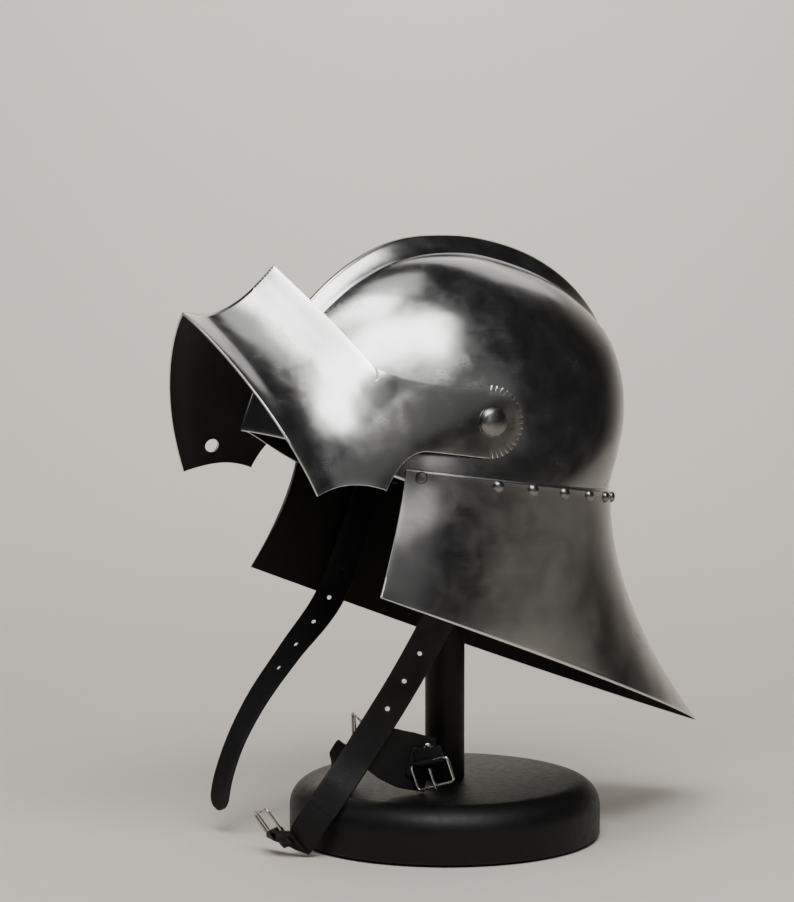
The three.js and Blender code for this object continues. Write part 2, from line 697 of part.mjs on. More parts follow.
// The third leg lies behind, down to the base, with its buckle
const rearRoute = alongRoute([
  hanging(-0.203, 0.609, 0.104, [0.8, -0.6, 0.2], strapWidth),
  hanging(-0.283, 0.637, 0.051, [0.7, -0.6, 0.4], strapWidth),
  hanging(-0.359, 0.653, 0.017, [0.5, -0.5, 0.7], strapWidth),
], 8, true);

function roundedRect(width, height, corner) {
  const shape = new THREE.Shape();
  const [w, h] = [width / 2, height / 2];
  shape.moveTo(-w + corner, -h);
  shape.lineTo(w - corner, -h);
  shape.absarc(w - corner, -h + corner, corner, -Math.PI / 2, 0);
  shape.lineTo(w, h - corner);
  shape.absarc(w - corner, h - corner, corner, 0, Math.PI / 2);
  shape.lineTo(-w + corner, h);
  shape.absarc(-w + corner, h - corner, corner, Math.PI / 2, Math.PI);
  shape.lineTo(-w, -h + corner);
  shape.absarc(-w + corner, -h + corner, corner, Math.PI, 1.5 * Math.PI);
  return shape;
}

// A buckle frame lies in its own X and Y, with the bar that the leather loop holds along X at -Y
function buckleFrame() {
  const outline = roundedRect(buckleLong, buckleShort, 3.5);
  outline.holes.push(roundedRect(buckleLong - 2 * buckleWire, buckleShort - 2 * buckleWire, 2));
  const frame = new THREE.ExtrudeGeometry(outline, { depth: buckleWire, bevelEnabled: false, curveSegments: 3 });
  return frame.translate(0, 0, -buckleWire / 2);
}

const barAt = -(buckleShort - buckleWire) / 2;

// The leather loop is folded round the bar and reaches back to the strap
function buckleLoop(width) {
  const hole = buckleWire + 2 * seatGap + 0.3;
  const tall = hole + 2 * loopWall;
  const outline = roundedRect(loopLength, tall, 2.4);
  const slot = roundedRect(hole, hole, 0.6);
  const shift = loopLength / 2 - tall / 2;
  outline.holes.push(new THREE.Path(slot.getPoints(2).map((p) => new THREE.Vector2(p.x + shift, p.y))));
  const loop = new THREE.ExtrudeGeometry(outline, { depth: width, bevelEnabled: false, curveSegments: 3 });
  loop.translate(-shift, 0, -width / 2);
  loop.applyMatrix4(new THREE.Matrix4().set(0, 0, 1, 0, 1, 0, 0, barAt, 0, 1, 0, 0, 0, 0, 0, 1));
  return loop;
}

// The prong is hinged on the bar, in a slit of the loop, and rests on the far bar
function bucklePin() {
  const start = barAt + buckleWire + loopWall + seatGap;
  const length = buckleShort / 2 + 1 - start;
  const prong = new THREE.CylinderGeometry(buckleWire * 0.45, buckleWire * 0.45, length, 8);
  prong.translate(0, start + length / 2, buckleWire + seatGap);
  return prong;
}

// A buckle group stands at a station, which it faces like, and its frame runs the given way
function addBuckle(group, letter, station, run) {
  const loopWidth = buckleLong - 2 * buckleWire - 4;
  const at = new THREE.Group();
  const along = run.clone().normalize();
  const across = along.clone().cross(station.face).normalize();
  const out = across.clone().cross(along);
  at.quaternion.setFromRotationMatrix(new THREE.Matrix4().makeBasis(across, along, out));
  at.position.copy(station.at);
  addPiece(at, `buckle_${letter}_frame`, buckleFrame(), buckleSteel);
  addPiece(at, `buckle_${letter}_loop`, buckleLoop(loopWidth), blackLeather);
  addPiece(at, `buckle_${letter}_prong`, bucklePin(), buckleSteel);
  group.add(at);
}

function addPiece(group, name, geometry, material) {
  const mesh = new THREE.Mesh(geometry, material);
  mesh.name = name;
  group.add(mesh);
  return mesh;
}

const assembly = new THREE.Group();
assembly.add(helmet);
addPiece(helmet, "skull", makeSkull(), polishedSteel);
addPiece(helmet, "tail", makeTail(), polishedSteel);
addPiece(helmet, "visor", makeVisor(), polishedSteel);

for (const side of [1, -1]) {
  const word = side > 0 ? "left" : "right";
  const seat = visorHalfWidthAt(pivot.y - pivotHeadRadius, pivot.z) + seatGap;
  const inner = skullHalfWidthAt(pivot.y, pivot.z, -skullWall);
  const head = domedRivet(pivotHeadRadius, pivotHeadRise, pivotShankRadius, seat - inner + 1, 20);
  const rivet = addPiece(helmet, `pivot_rivet_${word}`, head, rivetSteel);
  rivet.position.set(side * seat, pivot.y, pivot.z);
  rivet.rotation.z = side > 0 ? 0 : Math.PI;
  const flush = flushPlace();
  const plug = new THREE.CylinderGeometry(flushRadius, flushRadius, tailWall, 16).rotateZ(-Math.PI / 2);
  const disc = addPiece(helmet, `flush_rivet_${word}`, plug, rivetSteel);
  disc.position.set(side * flush.at.x, flush.at.y, flush.at.z);
  disc.rotation.z = -side * flush.turn;
}

rivetPlaces().forEach(({ point, out }, i) => {
  for (const side of i === 0 ? [1] : [1, -1]) {
    const word = i === 0 ? "nape" : side > 0 ? "left" : "right";
    const head = domedRivet(rivetRadius, rivetRise, 0, 0, 10);
    const rivet = addPiece(helmet, i === 0 ? "tail_rivet_nape" : `tail_rivet_${word}_${i}`, head, rivetSteel);
    rivet.position.set(side * point.x, point.y, point.z);
    const outward = new THREE.Vector3(i === 0 ? 0 : side * out.x, out.y, out.z).normalize();
    rivet.quaternion.setFromUnitVectors(new THREE.Vector3(1, 0, 0), outward);
  }
});

addPiece(assembly, "stand_base", makeBase(), blackPaint);
addPiece(assembly, "stand_post", makePost(), blackPaint);

let nearStrap = strap(nearRoute.stations);
for (const cut of strapHoles(nearRoute, nearHoleStart, nearHoleCount)) nearStrap = nearStrap.subtract(cut);
addPiece(assembly, "chin_strap_left", geometryOf(nearStrap), blackLeather);
let farStrap = strap(farRoute.stations);
for (const cut of strapHoles(farRoute, farHoleStart, farHoleCount)) farStrap = farStrap.subtract(cut);
addPiece(assembly, "chin_strap_right", geometryOf(farStrap), blackLeather);
addPiece(assembly, "chin_pad", geometryOf(strap(padRoute.stations)), blackLeather);
addPiece(assembly, "chin_strap_rear", geometryOf(strap(rearRoute.stations)), blackLeather);

// Each buckle lies beside an end of the leather that carries it, by shares of its own length
function besideEnd(end, across, ahead, up, face) {
  return { at: vec(across, -ahead, up).multiplyScalar(buckleShort).add(end), face };
}
const strapEnd = nearRoute.curve.getPoint(1);
const padEnd = padRoute.curve.getPoint(1);
const rearStart = rearRoute.curve.getPoint(0);
addBuckle(assembly, "front", besideEnd(strapEnd, -0.86, 0.84, 0.57, vec(0.04, -0.86, -0.485)), vec(-0.35, -0.47, 0.81));
addBuckle(assembly, "side", besideEnd(padEnd, 0.6, 0.25, -0.17, vec(0.58, -0.82, 0.1)), vec(0.22, 0.22, -0.95));
addBuckle(assembly, "rear", besideEnd(rearStart, 0.1, 0.1, 1.1, vec(-0.2, -0.98, 0)), vec(0.1, -0.1, 1));

export default assembly;
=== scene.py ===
# A sallet helmet with its visor raised, on a round display stand.
import math

import bpy
import numpy as np
from mathutils import Matrix, Vector, kdtree, noise
from mathutils.geometry import delaunay_2d_cdt


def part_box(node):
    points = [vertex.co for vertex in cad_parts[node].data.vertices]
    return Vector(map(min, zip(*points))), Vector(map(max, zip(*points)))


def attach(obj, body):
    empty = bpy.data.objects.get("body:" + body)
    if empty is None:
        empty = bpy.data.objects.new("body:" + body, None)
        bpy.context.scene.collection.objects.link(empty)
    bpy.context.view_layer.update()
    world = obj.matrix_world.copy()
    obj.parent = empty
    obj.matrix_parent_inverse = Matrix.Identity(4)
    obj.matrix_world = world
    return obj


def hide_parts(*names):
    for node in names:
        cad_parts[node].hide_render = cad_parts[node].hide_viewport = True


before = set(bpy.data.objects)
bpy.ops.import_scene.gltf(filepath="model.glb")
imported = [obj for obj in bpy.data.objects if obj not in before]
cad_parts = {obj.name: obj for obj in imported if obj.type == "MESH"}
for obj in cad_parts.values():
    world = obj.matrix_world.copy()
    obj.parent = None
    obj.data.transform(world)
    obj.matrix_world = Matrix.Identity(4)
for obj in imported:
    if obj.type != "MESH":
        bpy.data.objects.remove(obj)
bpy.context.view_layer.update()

mm = 0.001
rootBody = "helmet_and_stand"
visorBody = "visor"

# The camera stands low, in front of the wearer's left side.
photoView = {
    "place": (1.7168, -1.0186, 0.4404),
    "down": 4.81,  # degrees below level
    "turn": 60.29,  # degrees round from looking along +Y
    "lens": 113.75,
    "sensor": 36.0,  # over the picture's height
}


def placeCamera():
    view = bpy.data.cameras.new("photoCamera")
    view.lens = photoView["lens"]
    view.sensor_fit = "VERTICAL"
    view.sensor_height = photoView["sensor"]
    view.clip_end = 30
    holder = bpy.data.objects.new("photoCamera", view)
    bpy.context.scene.collection.objects.link(holder)
    holder.location = photoView["place"]
    holder.rotation_euler = (math.radians(90 - photoView["down"]), 0, math.radians(photoView["turn"]))
    bpy.context.scene.camera = holder


placeCamera()
print("camera placed")


# Colours and nodes

def hexColour(text):
    # sRGB hex to the linear values that a shader takes
    shares = [int(text[i:i + 2], 16) / 255 for i in (1, 3, 5)]
    linear = [c / 12.92 if c <= 0.04045 else ((c + 0.055) / 1.055) ** 2.4 for c in shares]
    return (*linear, 1.0)


def perMm(size):
    # texture scale on Object coordinates for a pattern of this size in millimetres
    return 1 / (size * mm)


def feed(tree, node, feeds):
    # a link where the value is another node's socket, and a plain value otherwise
    for socket, value in feeds.items():
        target = node.inputs[socket]
        if isinstance(value, bpy.types.NodeSocket):
            tree.links.new(value, target)
        else:
            target.default_value = value


def add(tree, kind, feeds=None, **settings):
    # one node, with its settings, its socket values and its links
    made = tree.nodes.new(kind)
    for key, value in settings.items():
        setattr(made, key, value)
    feed(tree, made, feeds or {})
    return made


def addNoise(tree, place, size, detail, distortion=0.0):
    # noise with lumps of this many millimetres
    return add(tree, "ShaderNodeTexNoise", {
        "Vector": place, "Scale": perMm(size), "Detail": detail, "Distortion": distortion,
    }).outputs["Fac"]


def addTone(tree, share, dark, light):
    # a colour between two, each a hex text or another node's colour
    low, high = (hexColour(tone) if isinstance(tone, str) else tone for tone in (dark, light))
    return add(tree, "ShaderNodeMix", {0: share, 6: low, 7: high}, data_type="RGBA").outputs[2]


def addRange(tree, value, low, high, fromLow=0.0, fromHigh=1.0):
    return add(tree, "ShaderNodeMapRange", {0: value, 1: fromLow, 2: fromHigh, 3: low, 4: high}).outputs[0]


def addBump(tree, height, deep, strength=1.0, under=None):
    # relief this many millimetres deep, on top of another bump where one is given
    feeds = {"Height": height, "Strength": strength, "Distance": deep * mm}
    if under:
        feeds["Normal"] = under
    return add(tree, "ShaderNodeBump", feeds).outputs[0]


def newMaterial(name):
    material = bpy.data.materials.new(name)
    material.use_nodes = True
    tree = material.node_tree
    tree.nodes.clear()
    shader = add(tree, "ShaderNodeBsdfPrincipled")
    output = add(tree, "ShaderNodeOutputMaterial")
    tree.links.new(shader.outputs["BSDF"], output.inputs["Surface"])
    return material, tree, shader


# Polished mild steel plate, planished by hammer and then buffed: long soft reflections that wander a
# little, fine buffing lines across them, and edges worn brighter.
steelLook = {
    "light": "#b5b4b2",
    "dark": "#8b8a89",
    "edge": "#d6d5d2",
    "roughLow": 0.17,
    "roughHigh": 0.28,
    "edgeRough": 0.2,
    "planish": 30,  # mm from one hammer flat to the next
    "planishDepth": 0.2,
    "buffLine": 0.9,  # mm; real buffing lines are finer than the render shows
    "buffRun": 26,
    "buffDepth": 0.008,
    "streak": 0.09,
    "smear": 14,
    "cloud": 56,
}


def makePlateSteel(name, look):
    material, tree, shader = newMaterial(name)
    place = add(tree, "ShaderNodeTexCoord").outputs["Object"]
    edge = add(tree, "ShaderNodeAttribute", attribute_name="edgeWear").outputs["Fac"]
    cloud = addNoise(tree, place, look["cloud"], 4.0)
    smear = addNoise(tree, place, look["smear"], 3.0, 0.6)
    tone = addTone(tree, cloud, look["dark"], look["light"])
    both = add(tree, "ShaderNodeMath", {0: cloud, 1: smear}, operation="MULTIPLY").outputs[0]
    rough = addRange(tree, both, look["roughLow"], look["roughHigh"], 0.12, 0.42)
    line, run = perMm(look["buffLine"]), perMm(look["buffRun"])
    along = add(tree, "ShaderNodeMapping", {"Vector": place, "Scale": (line, run, line)}).outputs[0]
    lines = add(tree, "ShaderNodeTexNoise", {"Vector": along, "Scale": 1.0, "Detail": 3.0}).outputs["Fac"]
    scuff = add(tree, "ShaderNodeMath", {0: lines, 1: look["streak"], 2: -look["streak"] / 2},
                operation="MULTIPLY_ADD").outputs[0]
    streaked = add(tree, "ShaderNodeMath", {0: rough, 1: scuff}, operation="ADD").outputs[0]
    hammer = addNoise(tree, place, look["planish"], 1.0)
    wide = addBump(tree, hammer, look["planishDepth"])
    feed(tree, shader, {
        "Base Color": addTone(tree, edge, tone, look["edge"]),
        "Roughness": add(tree, "ShaderNodeMix", {0: edge, 2: streaked, 3: look["edgeRough"]}).outputs[0],
        "Normal": addBump(tree, lines, look["buffDepth"], under=wide),
        "Metallic": 1.0,
    })
    return material


# The inside of the plates is painted shade: a dull, dark and mottled colour stands for the shade inside the
# helmet.
insideShadeLook = {
    "dark": "#0d0c0c", "light": "#232120", "spot": 7, "scale": 1.6, "scaleDepth": 0.2,
    "roughLow": 0.5, "roughHigh": 0.72, "metal": 0.55,
}


def makeInsideShadeBlack():
    look = insideShadeLook
    material, tree, shader = newMaterial("painted shade on the inside of steel plate")
    place = add(tree, "ShaderNodeTexCoord").outputs["Object"]
    spots = addNoise(tree, place, look["spot"], 6.0)
    scale = addNoise(tree, place, look["scale"], 3.0)
    feed(tree, shader, {
        "Base Color": addTone(tree, spots, look["dark"], look["light"]),
        "Roughness": addRange(tree, spots, look["roughLow"], look["roughHigh"]),
        "Normal": addBump(tree, scale, look["scaleDepth"], 0.4),
        "Metallic": look["metal"],
    })
    return material


# Black dyed bridle leather: a close pebbled grain, a waxed satin top, dusty rubbed edges.
leatherLook = {
    "dark": "#060606", "light": "#121113", "rubbed": "#2c2826",
    "grain": 1.3, "grainDepth": 0.16, "crease": 14, "creaseDepth": 0.5,
    "roughLow": 0.5, "roughHigh": 0.68, "shine": 0.26,
}


def makeLeather():
    look = leatherLook
    material, tree, shader = newMaterial("black dyed bridle leather")
    place = add(tree, "ShaderNodeTexCoord").outputs["Object"]
    edge = add(tree, "ShaderNodeAttribute", attribute_name="edgeWear").outputs["Fac"]
    pebbles = add(tree, "ShaderNodeTexVoronoi", {"Vector": place, "Scale": perMm(look["grain"])})
    crease = addNoise(tree, place, look["crease"], 6.0, 0.8)
    tone = addTone(tree, crease, look["dark"], look["light"])
    patchy = add(tree, "ShaderNodeMath", {0: edge, 1: crease}, operation="MULTIPLY").outputs[0]
    folds = addBump(tree, crease, look["creaseDepth"], 0.6)
    feed(tree, shader, {
        "Base Color": addTone(tree, patchy, tone, look["rubbed"]),
        "Roughness": addRange(tree, crease, look["roughLow"], look["roughHigh"], 0.3, 0.7),
        "Normal": addBump(tree, pebbles.outputs["Distance"], look["grainDepth"], 0.45, folds),
        "Specular IOR Level": look["shine"],
    })
    return material


# Satin black lacquer on turned pine: the lacquer evens the grain, and faint turning rings stay.
lacquerLook = {
    "dark": "#050505", "light": "#0c0c0d", "ring": 2.4, "ringDepth": 0.06, "dust": 5, "dustDepth": 0.12,
    "roughLow": 0.44, "roughHigh": 0.56, "shine": 0.26,
}


def makeLacquer():
    look = lacquerLook
    material, tree, shader = newMaterial("satin black lacquer on turned pine")
    place = add(tree, "ShaderNodeTexCoord").outputs["Object"]
    dust = addNoise(tree, place, look["dust"], 5.0)
    rings = add(tree, "ShaderNodeTexWave", {
        "Vector": place, "Scale": perMm(look["ring"]) / 20,  # the node itself takes 20 radians to a unit
        "Distortion": 1.5, "Detail": 2.0,
    }, wave_type="RINGS", rings_direction="Z").outputs["Fac"]
    grooves = addBump(tree, rings, look["ringDepth"], 0.25)
    feed(tree, shader, {
        "Base Color": addTone(tree, dust, look["dark"], look["light"]),
        "Roughness": addRange(tree, dust, look["roughLow"], look["roughHigh"], 0.3, 0.7),
        "Normal": addBump(tree, dust, look["dustDepth"], 0.25, grooves),
        "Specular IOR Level": look["shine"],
    })
    return material


plateSteel = makePlateSteel("buffed mild steel plate", steelLook)
rivetSteel = makePlateSteel("peened steel rivet head", {
    **steelLook, "light": "#8f8d8b", "dark": "#6f6d6b", "smear": 2.2, "cloud": 8.8, "planish": 4,
    "planishDepth": 0.048, "buffDepth": 0.0048, "streak": 0.04, "roughLow": 0.26, "roughHigh": 0.36,
})
wireNickel = makePlateSteel("nickelled buckle wire", {
    **steelLook, "light": "#c9c6bf", "dark": "#9d9a94", "smear": 2, "cloud": 8, "planish": 5,
    "planishDepth": 0.08, "buffDepth": 0.004,
})
# painted shade: the dark colour given to the plates' inside faces
insideShadeBlack = makeInsideShadeBlack()
strapLeather = makeLeather()
standLacquer = makeLacquer()
print("materials made")


# Where the helmet sits: it is modelled level, on its waist line, and leans back on the stand
seat = {"waistHeight": 259.0, "lean": 7.9}


def onStand(points):
    # helmet millimetres to the object's metres
    turn = math.radians(seat["lean"])
    points = np.asarray(points, float)
    y = points[..., 1] * math.cos(turn) + points[..., 2] * math.sin(turn)
    z = seat["waistHeight"] - points[..., 1] * math.sin(turn) + points[..., 2] * math.cos(turn)
    return np.stack([points[..., 0], y, z], -1) * mm


def turned(directions):
    # a direction on the level helmet, as it points on the stand
    return onStand(directions) / mm - np.array([0, 0, seat["waistHeight"]])


def unit(v):
    return v / np.maximum(np.linalg.norm(v, axis=-1, keepdims=True), 1e-12)


def between(rows, column, at):
    # value of one column at a place between the table's rows, smooth through every row
    place = np.array([row[0] for row in rows["rows"]], float)
    value = np.array([row[rows["columns"].index(column)] for row in rows["rows"]], float)
    low = np.maximum(np.arange(len(place)) - 1, 0)
    high = np.minimum(np.arange(len(place)) + 1, len(place) - 1)
    slope = (value[high] - value[low]) / (place[high] - place[low])
    i = np.clip(np.searchsorted(place, at, side="right") - 1, 0, len(place) - 2)
    step = place[i + 1] - place[i]
    t = np.clip((at - place[i]) / step, 0, 1)
    rise = t * t * (3 - 2 * t)
    lift = slope[i] * step * t * (1 - t) ** 2 - slope[i + 1] * step * t * t * (1 - t)
    return value[i] + (value[i + 1] - value[i]) * rise + lift


def hammered(points, work):
    # how far hammering leaves each point above or below the true surface, one row for each point
    shift = Vector((work["hammerSeed"],) * 3)
    heights = [work["hammerDepth"] * noise.noise(Vector(p / work["hammerSize"]) + shift) for p in points]
    return np.array(heights)[:, None]


def boundaryLoops(faces):
    directed = set()
    for face in faces:
        directed.update(zip(face, (*face[1:], face[0])))
    following = {a: b for a, b in directed if (b, a) not in directed}
    loops = []
    while following:
        start = next(iter(following))
        loop = [start]
        at = following.pop(start)
        while at != start and at in following:
            loop.append(at)
            at = following.pop(at)
        loops.append(loop)
    return loops


def welded(points, faces, partner, normals):
    # merges points that fall together and drops the faces that this flattens
    keys = {}
    remap = []
    keep = []
    for i, key in enumerate(map(tuple, np.round(points / 1e-7).astype(np.int64))):
        if key not in keys:
            keys[key] = len(keep)
            keep.append(i)
        remap.append(keys[key])
    tidy = []
    for face in faces:
        ring = []
        for i in face:
            if not ring or remap[i] != ring[-1]:
                ring.append(remap[i])
        if len(ring) > 1 and ring[0] == ring[-1]:
            ring.pop()
        if len(ring) > 2:
            tidy.append(tuple(ring))
    return points[keep], tidy, partner[keep], None if normals is None else normals[keep]


def makeObject(name, mesh, materials):
    piece = bpy.data.objects.new(name, mesh)
    bpy.context.scene.collection.objects.link(piece)
    for material in materials:
        mesh.materials.append(material)
    return piece


def treeOf(points):
    # a search tree over rows of three coordinates
    tree = kdtree.KDTree(len(points))
    for i, p in enumerate(points):
        tree.insert(p, i)
    tree.balance()
    return tree


def makePlate(name, outer, inner, faces, bulge, materials, normals=None, wearSize=1.6):
    # a wall between two sheets of points in metres, with a rounded rim round every edge and hole
    outer, faces, inner, normals = welded(outer, faces, inner, normals)
    outer, inner = outer.copy(), inner.copy()
    count = len(outer)
    points = [outer, inner]
    inside = [tuple(count + i for i in reversed(face)) for face in faces]
    directions = None if normals is None else [normals, -normals]
    total = 2 * count
    rimSteps = 5
    rimPoints = []
    rim = []
    for loop in boundaryLoops(faces):
        index = np.array(loop)
        tangent = outer[np.roll(index, -1)] - outer[np.roll(index, 1)]
        half = (outer[index] - inner[index]) / 2
        middle = (outer[index] + inner[index]) / 2
        away = unit(np.cross(tangent, half))
        rings = [index]
        for k in range(1, rimSteps):
            turn = math.pi * k / rimSteps
            ring = middle + half * math.cos(turn) + away * bulge * (math.sin(turn) - 1)
            points.append(ring)
            if directions is not None:
                directions.append(unit(unit(half) * math.cos(turn) + away * math.sin(turn)))
            rings.append(np.arange(total, total + len(index)))
            total += len(index)
        rings.append(index + count)
        rimPoints.append(middle)
        for above, below in zip(rings[:-1], rings[1:]):
            for a, b, c, d in zip(np.roll(above, -1), above, below, np.roll(below, -1)):
                rim.append((int(a), int(b), int(c), int(d)))
        outer[index] -= away * bulge
        inner[index] -= away * bulge
    points = np.concatenate(points)
    mesh = bpy.data.meshes.new(name)
    mesh.from_pydata(points.tolist(), [], faces + rim + inside)
    mesh.polygons.foreach_set("use_smooth", [True] * len(mesh.polygons))
    # inside faces take the last material; on the plates that is the dark inside, which is painted shade
    marks = [0] * (len(faces) + len(rim)) + [len(materials) - 1] * len(inside)
    mesh.polygons.foreach_set("material_index", marks)
    tree = treeOf(np.concatenate(rimPoints))
    wear = [math.exp(-max(tree.find(p)[2] / mm - 0.9, 0) / wearSize) for p in points]
    mesh.attributes.new("edgeWear", "FLOAT", "POINT").data.foreach_set("value", wear)
    mesh.update()
    if directions is not None:
        mesh.normals_split_custom_set_from_vertices(np.concatenate(directions).tolist())
    return makeObject(name, mesh, materials)


def gridFaces(rows, columns):
    faces = []
    for r in range(rows - 1):
        for c in range(columns - 1):
            a = r * columns + c
            faces.append((a, a + 1, a + columns + 1, a + columns))
    return faces


# Skull: one row per angle round its cross axis, from the face (0) over the crown to the nape (180).
# reach and comb are shares of the crown's rise and the comb's height; fullness and keel shape a section.
skull = {
    "halfWidth": 94.0, "middle": 15.0, "skirt": 16.0, "crown": 168.0, "wall": 1.8,
    "browRise": 11.3, "browHalfWidth": 88.0, "browPower": 2.2,
    "comb": 13.5, "combHalfWidth": 9.0, "combRound": 1.0, "combPower": 1.35,
    "rows": 132, "combColumns": 11, "bowlColumns": 44,
    "hammerSize": 33.0, "hammerDepth": 0.36, "hammerSeed": 3.1, "rim": 0.5,
}
skullSections = {
    "columns": ["angle", "reach", "fullness", "keel", "comb"],
    "rows": [
        (0, 1.06, 2.3, 0.87, 0.08),
        (9, 1.065, 2.3, 0.87, 0.12),
        (25, 1.066, 2.25, 0.8, 0.25),
        (41, 1.056, 2.15, 0.68, 0.52),
        (53, 1.05, 2.05, 0.58, 0.76),
        (64, 1.045, 2, 0.53, 0.88),
        (79, 1.017, 2, 0.5, 0.92),
        (95, 0.986, 2, 0.5, 1),
        (110, 0.973, 2, 0.5, 0.86),
        (125, 0.954, 2, 0.5, 0.5),
        (135, 0.9, 2, 0.5, 0.32),
        (145, 0.822, 2.05, 0.5, 0.14),
        (154, 0.738, 2.1, 0.5, 0.04),
        (167, 0.65, 2.1, 0.5, 0),
        (180, 0.629, 2.1, 0.5, 0),
    ],
}


def skullPoint(angle, side, grow=0.0):
    angle, side = np.broadcast_arrays(np.asarray(angle, float), np.asarray(side, float))
    share = np.cos(np.pi / 2 * np.minimum(np.abs(side), 1))
    fullness = between(skullSections, "fullness", angle)
    keel = between(skullSections, "keel", angle)
    x = (skull["halfWidth"] + grow) * np.maximum(1 - share ** fullness, 0) ** keel
    reach = (skull["crown"] * between(skullSections, "reach", angle) + grow) * share
    foot = skull["combHalfWidth"] + grow * 0.6
    near = np.sqrt(x * x + skull["combRound"] ** 2) - skull["combRound"]  # the comb's top is rounded
    ridge = np.maximum(1 - near / foot, 0) ** skull["combPower"]
    out = reach + skull["comb"] * between(skullSections, "comb", angle) * ridge
    turn = np.radians(angle)
    return np.stack([
        np.sign(side) * x,
        skull["middle"] - out * np.cos(turn),
        -skull["skirt"] + out * np.sin(turn),
    ], -1)


def sideAt(x, angle):
    fullness = between(skullSections, "fullness", angle)
    keel = between(skullSections, "keel", angle)
    share = (1 - (x / skull["halfWidth"]) ** (1 / keel)) ** (1 / fullness)
    return np.arccos(share) / (np.pi / 2)


def browAngle(side):
    level = skullPoint(0, side)
    edge = np.maximum(1 - (np.abs(level[..., 0]) / skull["browHalfWidth"]) ** skull["browPower"], 0)
    reach = np.maximum(skull["middle"] - level[..., 1], 1)
    return np.degrees(np.arcsin(np.minimum((skull["browRise"] + skull["skirt"]) * edge / reach, 1)))


def makeSkull():
    sheets = {0.0: [], -skull["wall"]: []}
    combShares = np.linspace(0, 1, skull["combColumns"])[:, None]
    for row in np.linspace(0, 1, skull["rows"]):
        angle = np.array([180 * row])
        comb = sideAt(combShares[:, 0] * skull["combHalfWidth"], np.full(len(combShares), angle[0]))
        bowl = comb[-1] + (1 - comb[-1]) * np.linspace(0, 1, skull["bowlColumns"])[1:]
        half = np.concatenate([comb, bowl])
        sides = np.concatenate([-half[:0:-1], half])
        start = browAngle(sides)
        for grow, sheet in sheets.items():
            sheet.append(skullPoint(start + (180 - start) * row, sides, grow))
    outer = np.concatenate(sheets[0.0])
    inner = np.concatenate(sheets[-skull["wall"]])
    outward = unit(outer - np.array([0, skull["middle"], 20]))
    outer = outer + outward * hammered(outer, skull)
    columns = 2 * (skull["combColumns"] + skull["bowlColumns"] - 1) - 1
    piece = makePlate("skullPlate", onStand(outer), onStand(inner), gridFaces(skull["rows"], columns),
                      skull["rim"] * mm, [plateSteel, insideShadeBlack])
    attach(piece, rootBody)
    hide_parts("skull")


makeSkull()
print("skull made")


# Tail: runs from the cheek's front edge over the widest place to the nape
tail = {
    "wall": 1.6, "gap": 0.85,
    "cheekStart": 91.0, "cheekDepth": 86.3, "cheekReach": 109.7, "cheekHalfWidth": 93.0,
    "halfWidth": 97.2, "fullness": 2.2, "keel": 0.85, "reach": 225.0, "tipDepth": 165.0, "flare": 1.7,
    "frontColumns": 30, "backColumns": 90, "rows": 56,
    "fineColumns": (60, 240),  # for places on its face
    "hammerSize": 17.0, "hammerDepth": 0.2, "hammerSeed": 7.7, "rim": 0.45,
}


def tailLine(grow, front, back):
    cheekShare = tail["cheekStart"] / (skull["crown"] * skullSections["rows"][0][1])
    ahead = np.linspace(1, 0, front + 1)[:front]
    share = cheekShare * np.sin(np.pi / 2 * ahead)
    topFront = skullPoint(0, np.arccos(share) / (np.pi / 2), grow)
    out = share / cheekShare
    xFront = tail["halfWidth"] + grow - (tail["halfWidth"] - tail["cheekHalfWidth"]) * out * out
    bottomFront = np.stack([xFront, skull["middle"] - tail["cheekReach"] * out, 0 * out], -1)
    behind = np.linspace(0, 1, back + 1)
    topBack = skullPoint(180, 1 - behind, grow)
    share = np.cos(np.pi / 2 * (1 - behind))
    xBack = (tail["halfWidth"] + grow) * np.maximum(1 - share ** tail["fullness"], 0) ** tail["keel"]
    bottomBack = np.stack([xBack, skull["middle"] + (tail["reach"] + grow * 1.4) * share, 0 * share], -1)
    top = np.concatenate([topFront, topBack])
    top[:, 2] = 0
    return top, np.concatenate([bottomFront, bottomBack])


def lowerEdge(y):
    start = skull["middle"] - tail["cheekReach"]
    end = skull["middle"] + tail["reach"]
    return tail["cheekDepth"] + (tail["tipDepth"] - tail["cheekDepth"]) * (y - start) / (end - start)


def tailPoint(top, bottom, down):
    down = np.broadcast_to(np.asarray(down, float), top.shape[:-1])
    point = top + (bottom - top) * (down ** tail["flare"])[..., None]
    point[..., 2] = -lowerEdge(bottom[..., 1]) * down
    return point


def makeTail():
    sheets = []
    for grow in (tail["gap"] + tail["wall"], tail["gap"]):
        top, bottom = tailLine(grow, tail["frontColumns"], tail["backColumns"])
        rows = []
        for down in np.linspace(0, 1, tail["rows"]):
            half = tailPoint(top, bottom, down)
            far = half[:-1] * np.array([-1, 1, 1])
            rows.append(np.concatenate([far, half[::-1]]))
        sheets.append(np.concatenate(rows))
    outer, inner = sheets
    outward = unit((outer - np.array([0, skull["middle"], 0])) * np.array([1, 1, 0]))
    long = outer * np.array([1, 1, 0.3])  # the guard was drawn down, so its waves run down too
    outer = outer + outward * hammered(long, tail)
    columns = 2 * (tail["frontColumns"] + tail["backColumns"] + 1) - 1
    piece = makePlate("tailPlate", onStand(outer), onStand(inner), gridFaces(tail["rows"], columns),
                      tail["rim"] * mm, [plateSteel, insideShadeBlack])
    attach(piece, rootBody)
    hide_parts("tail")


makeTail()
print("tail made")


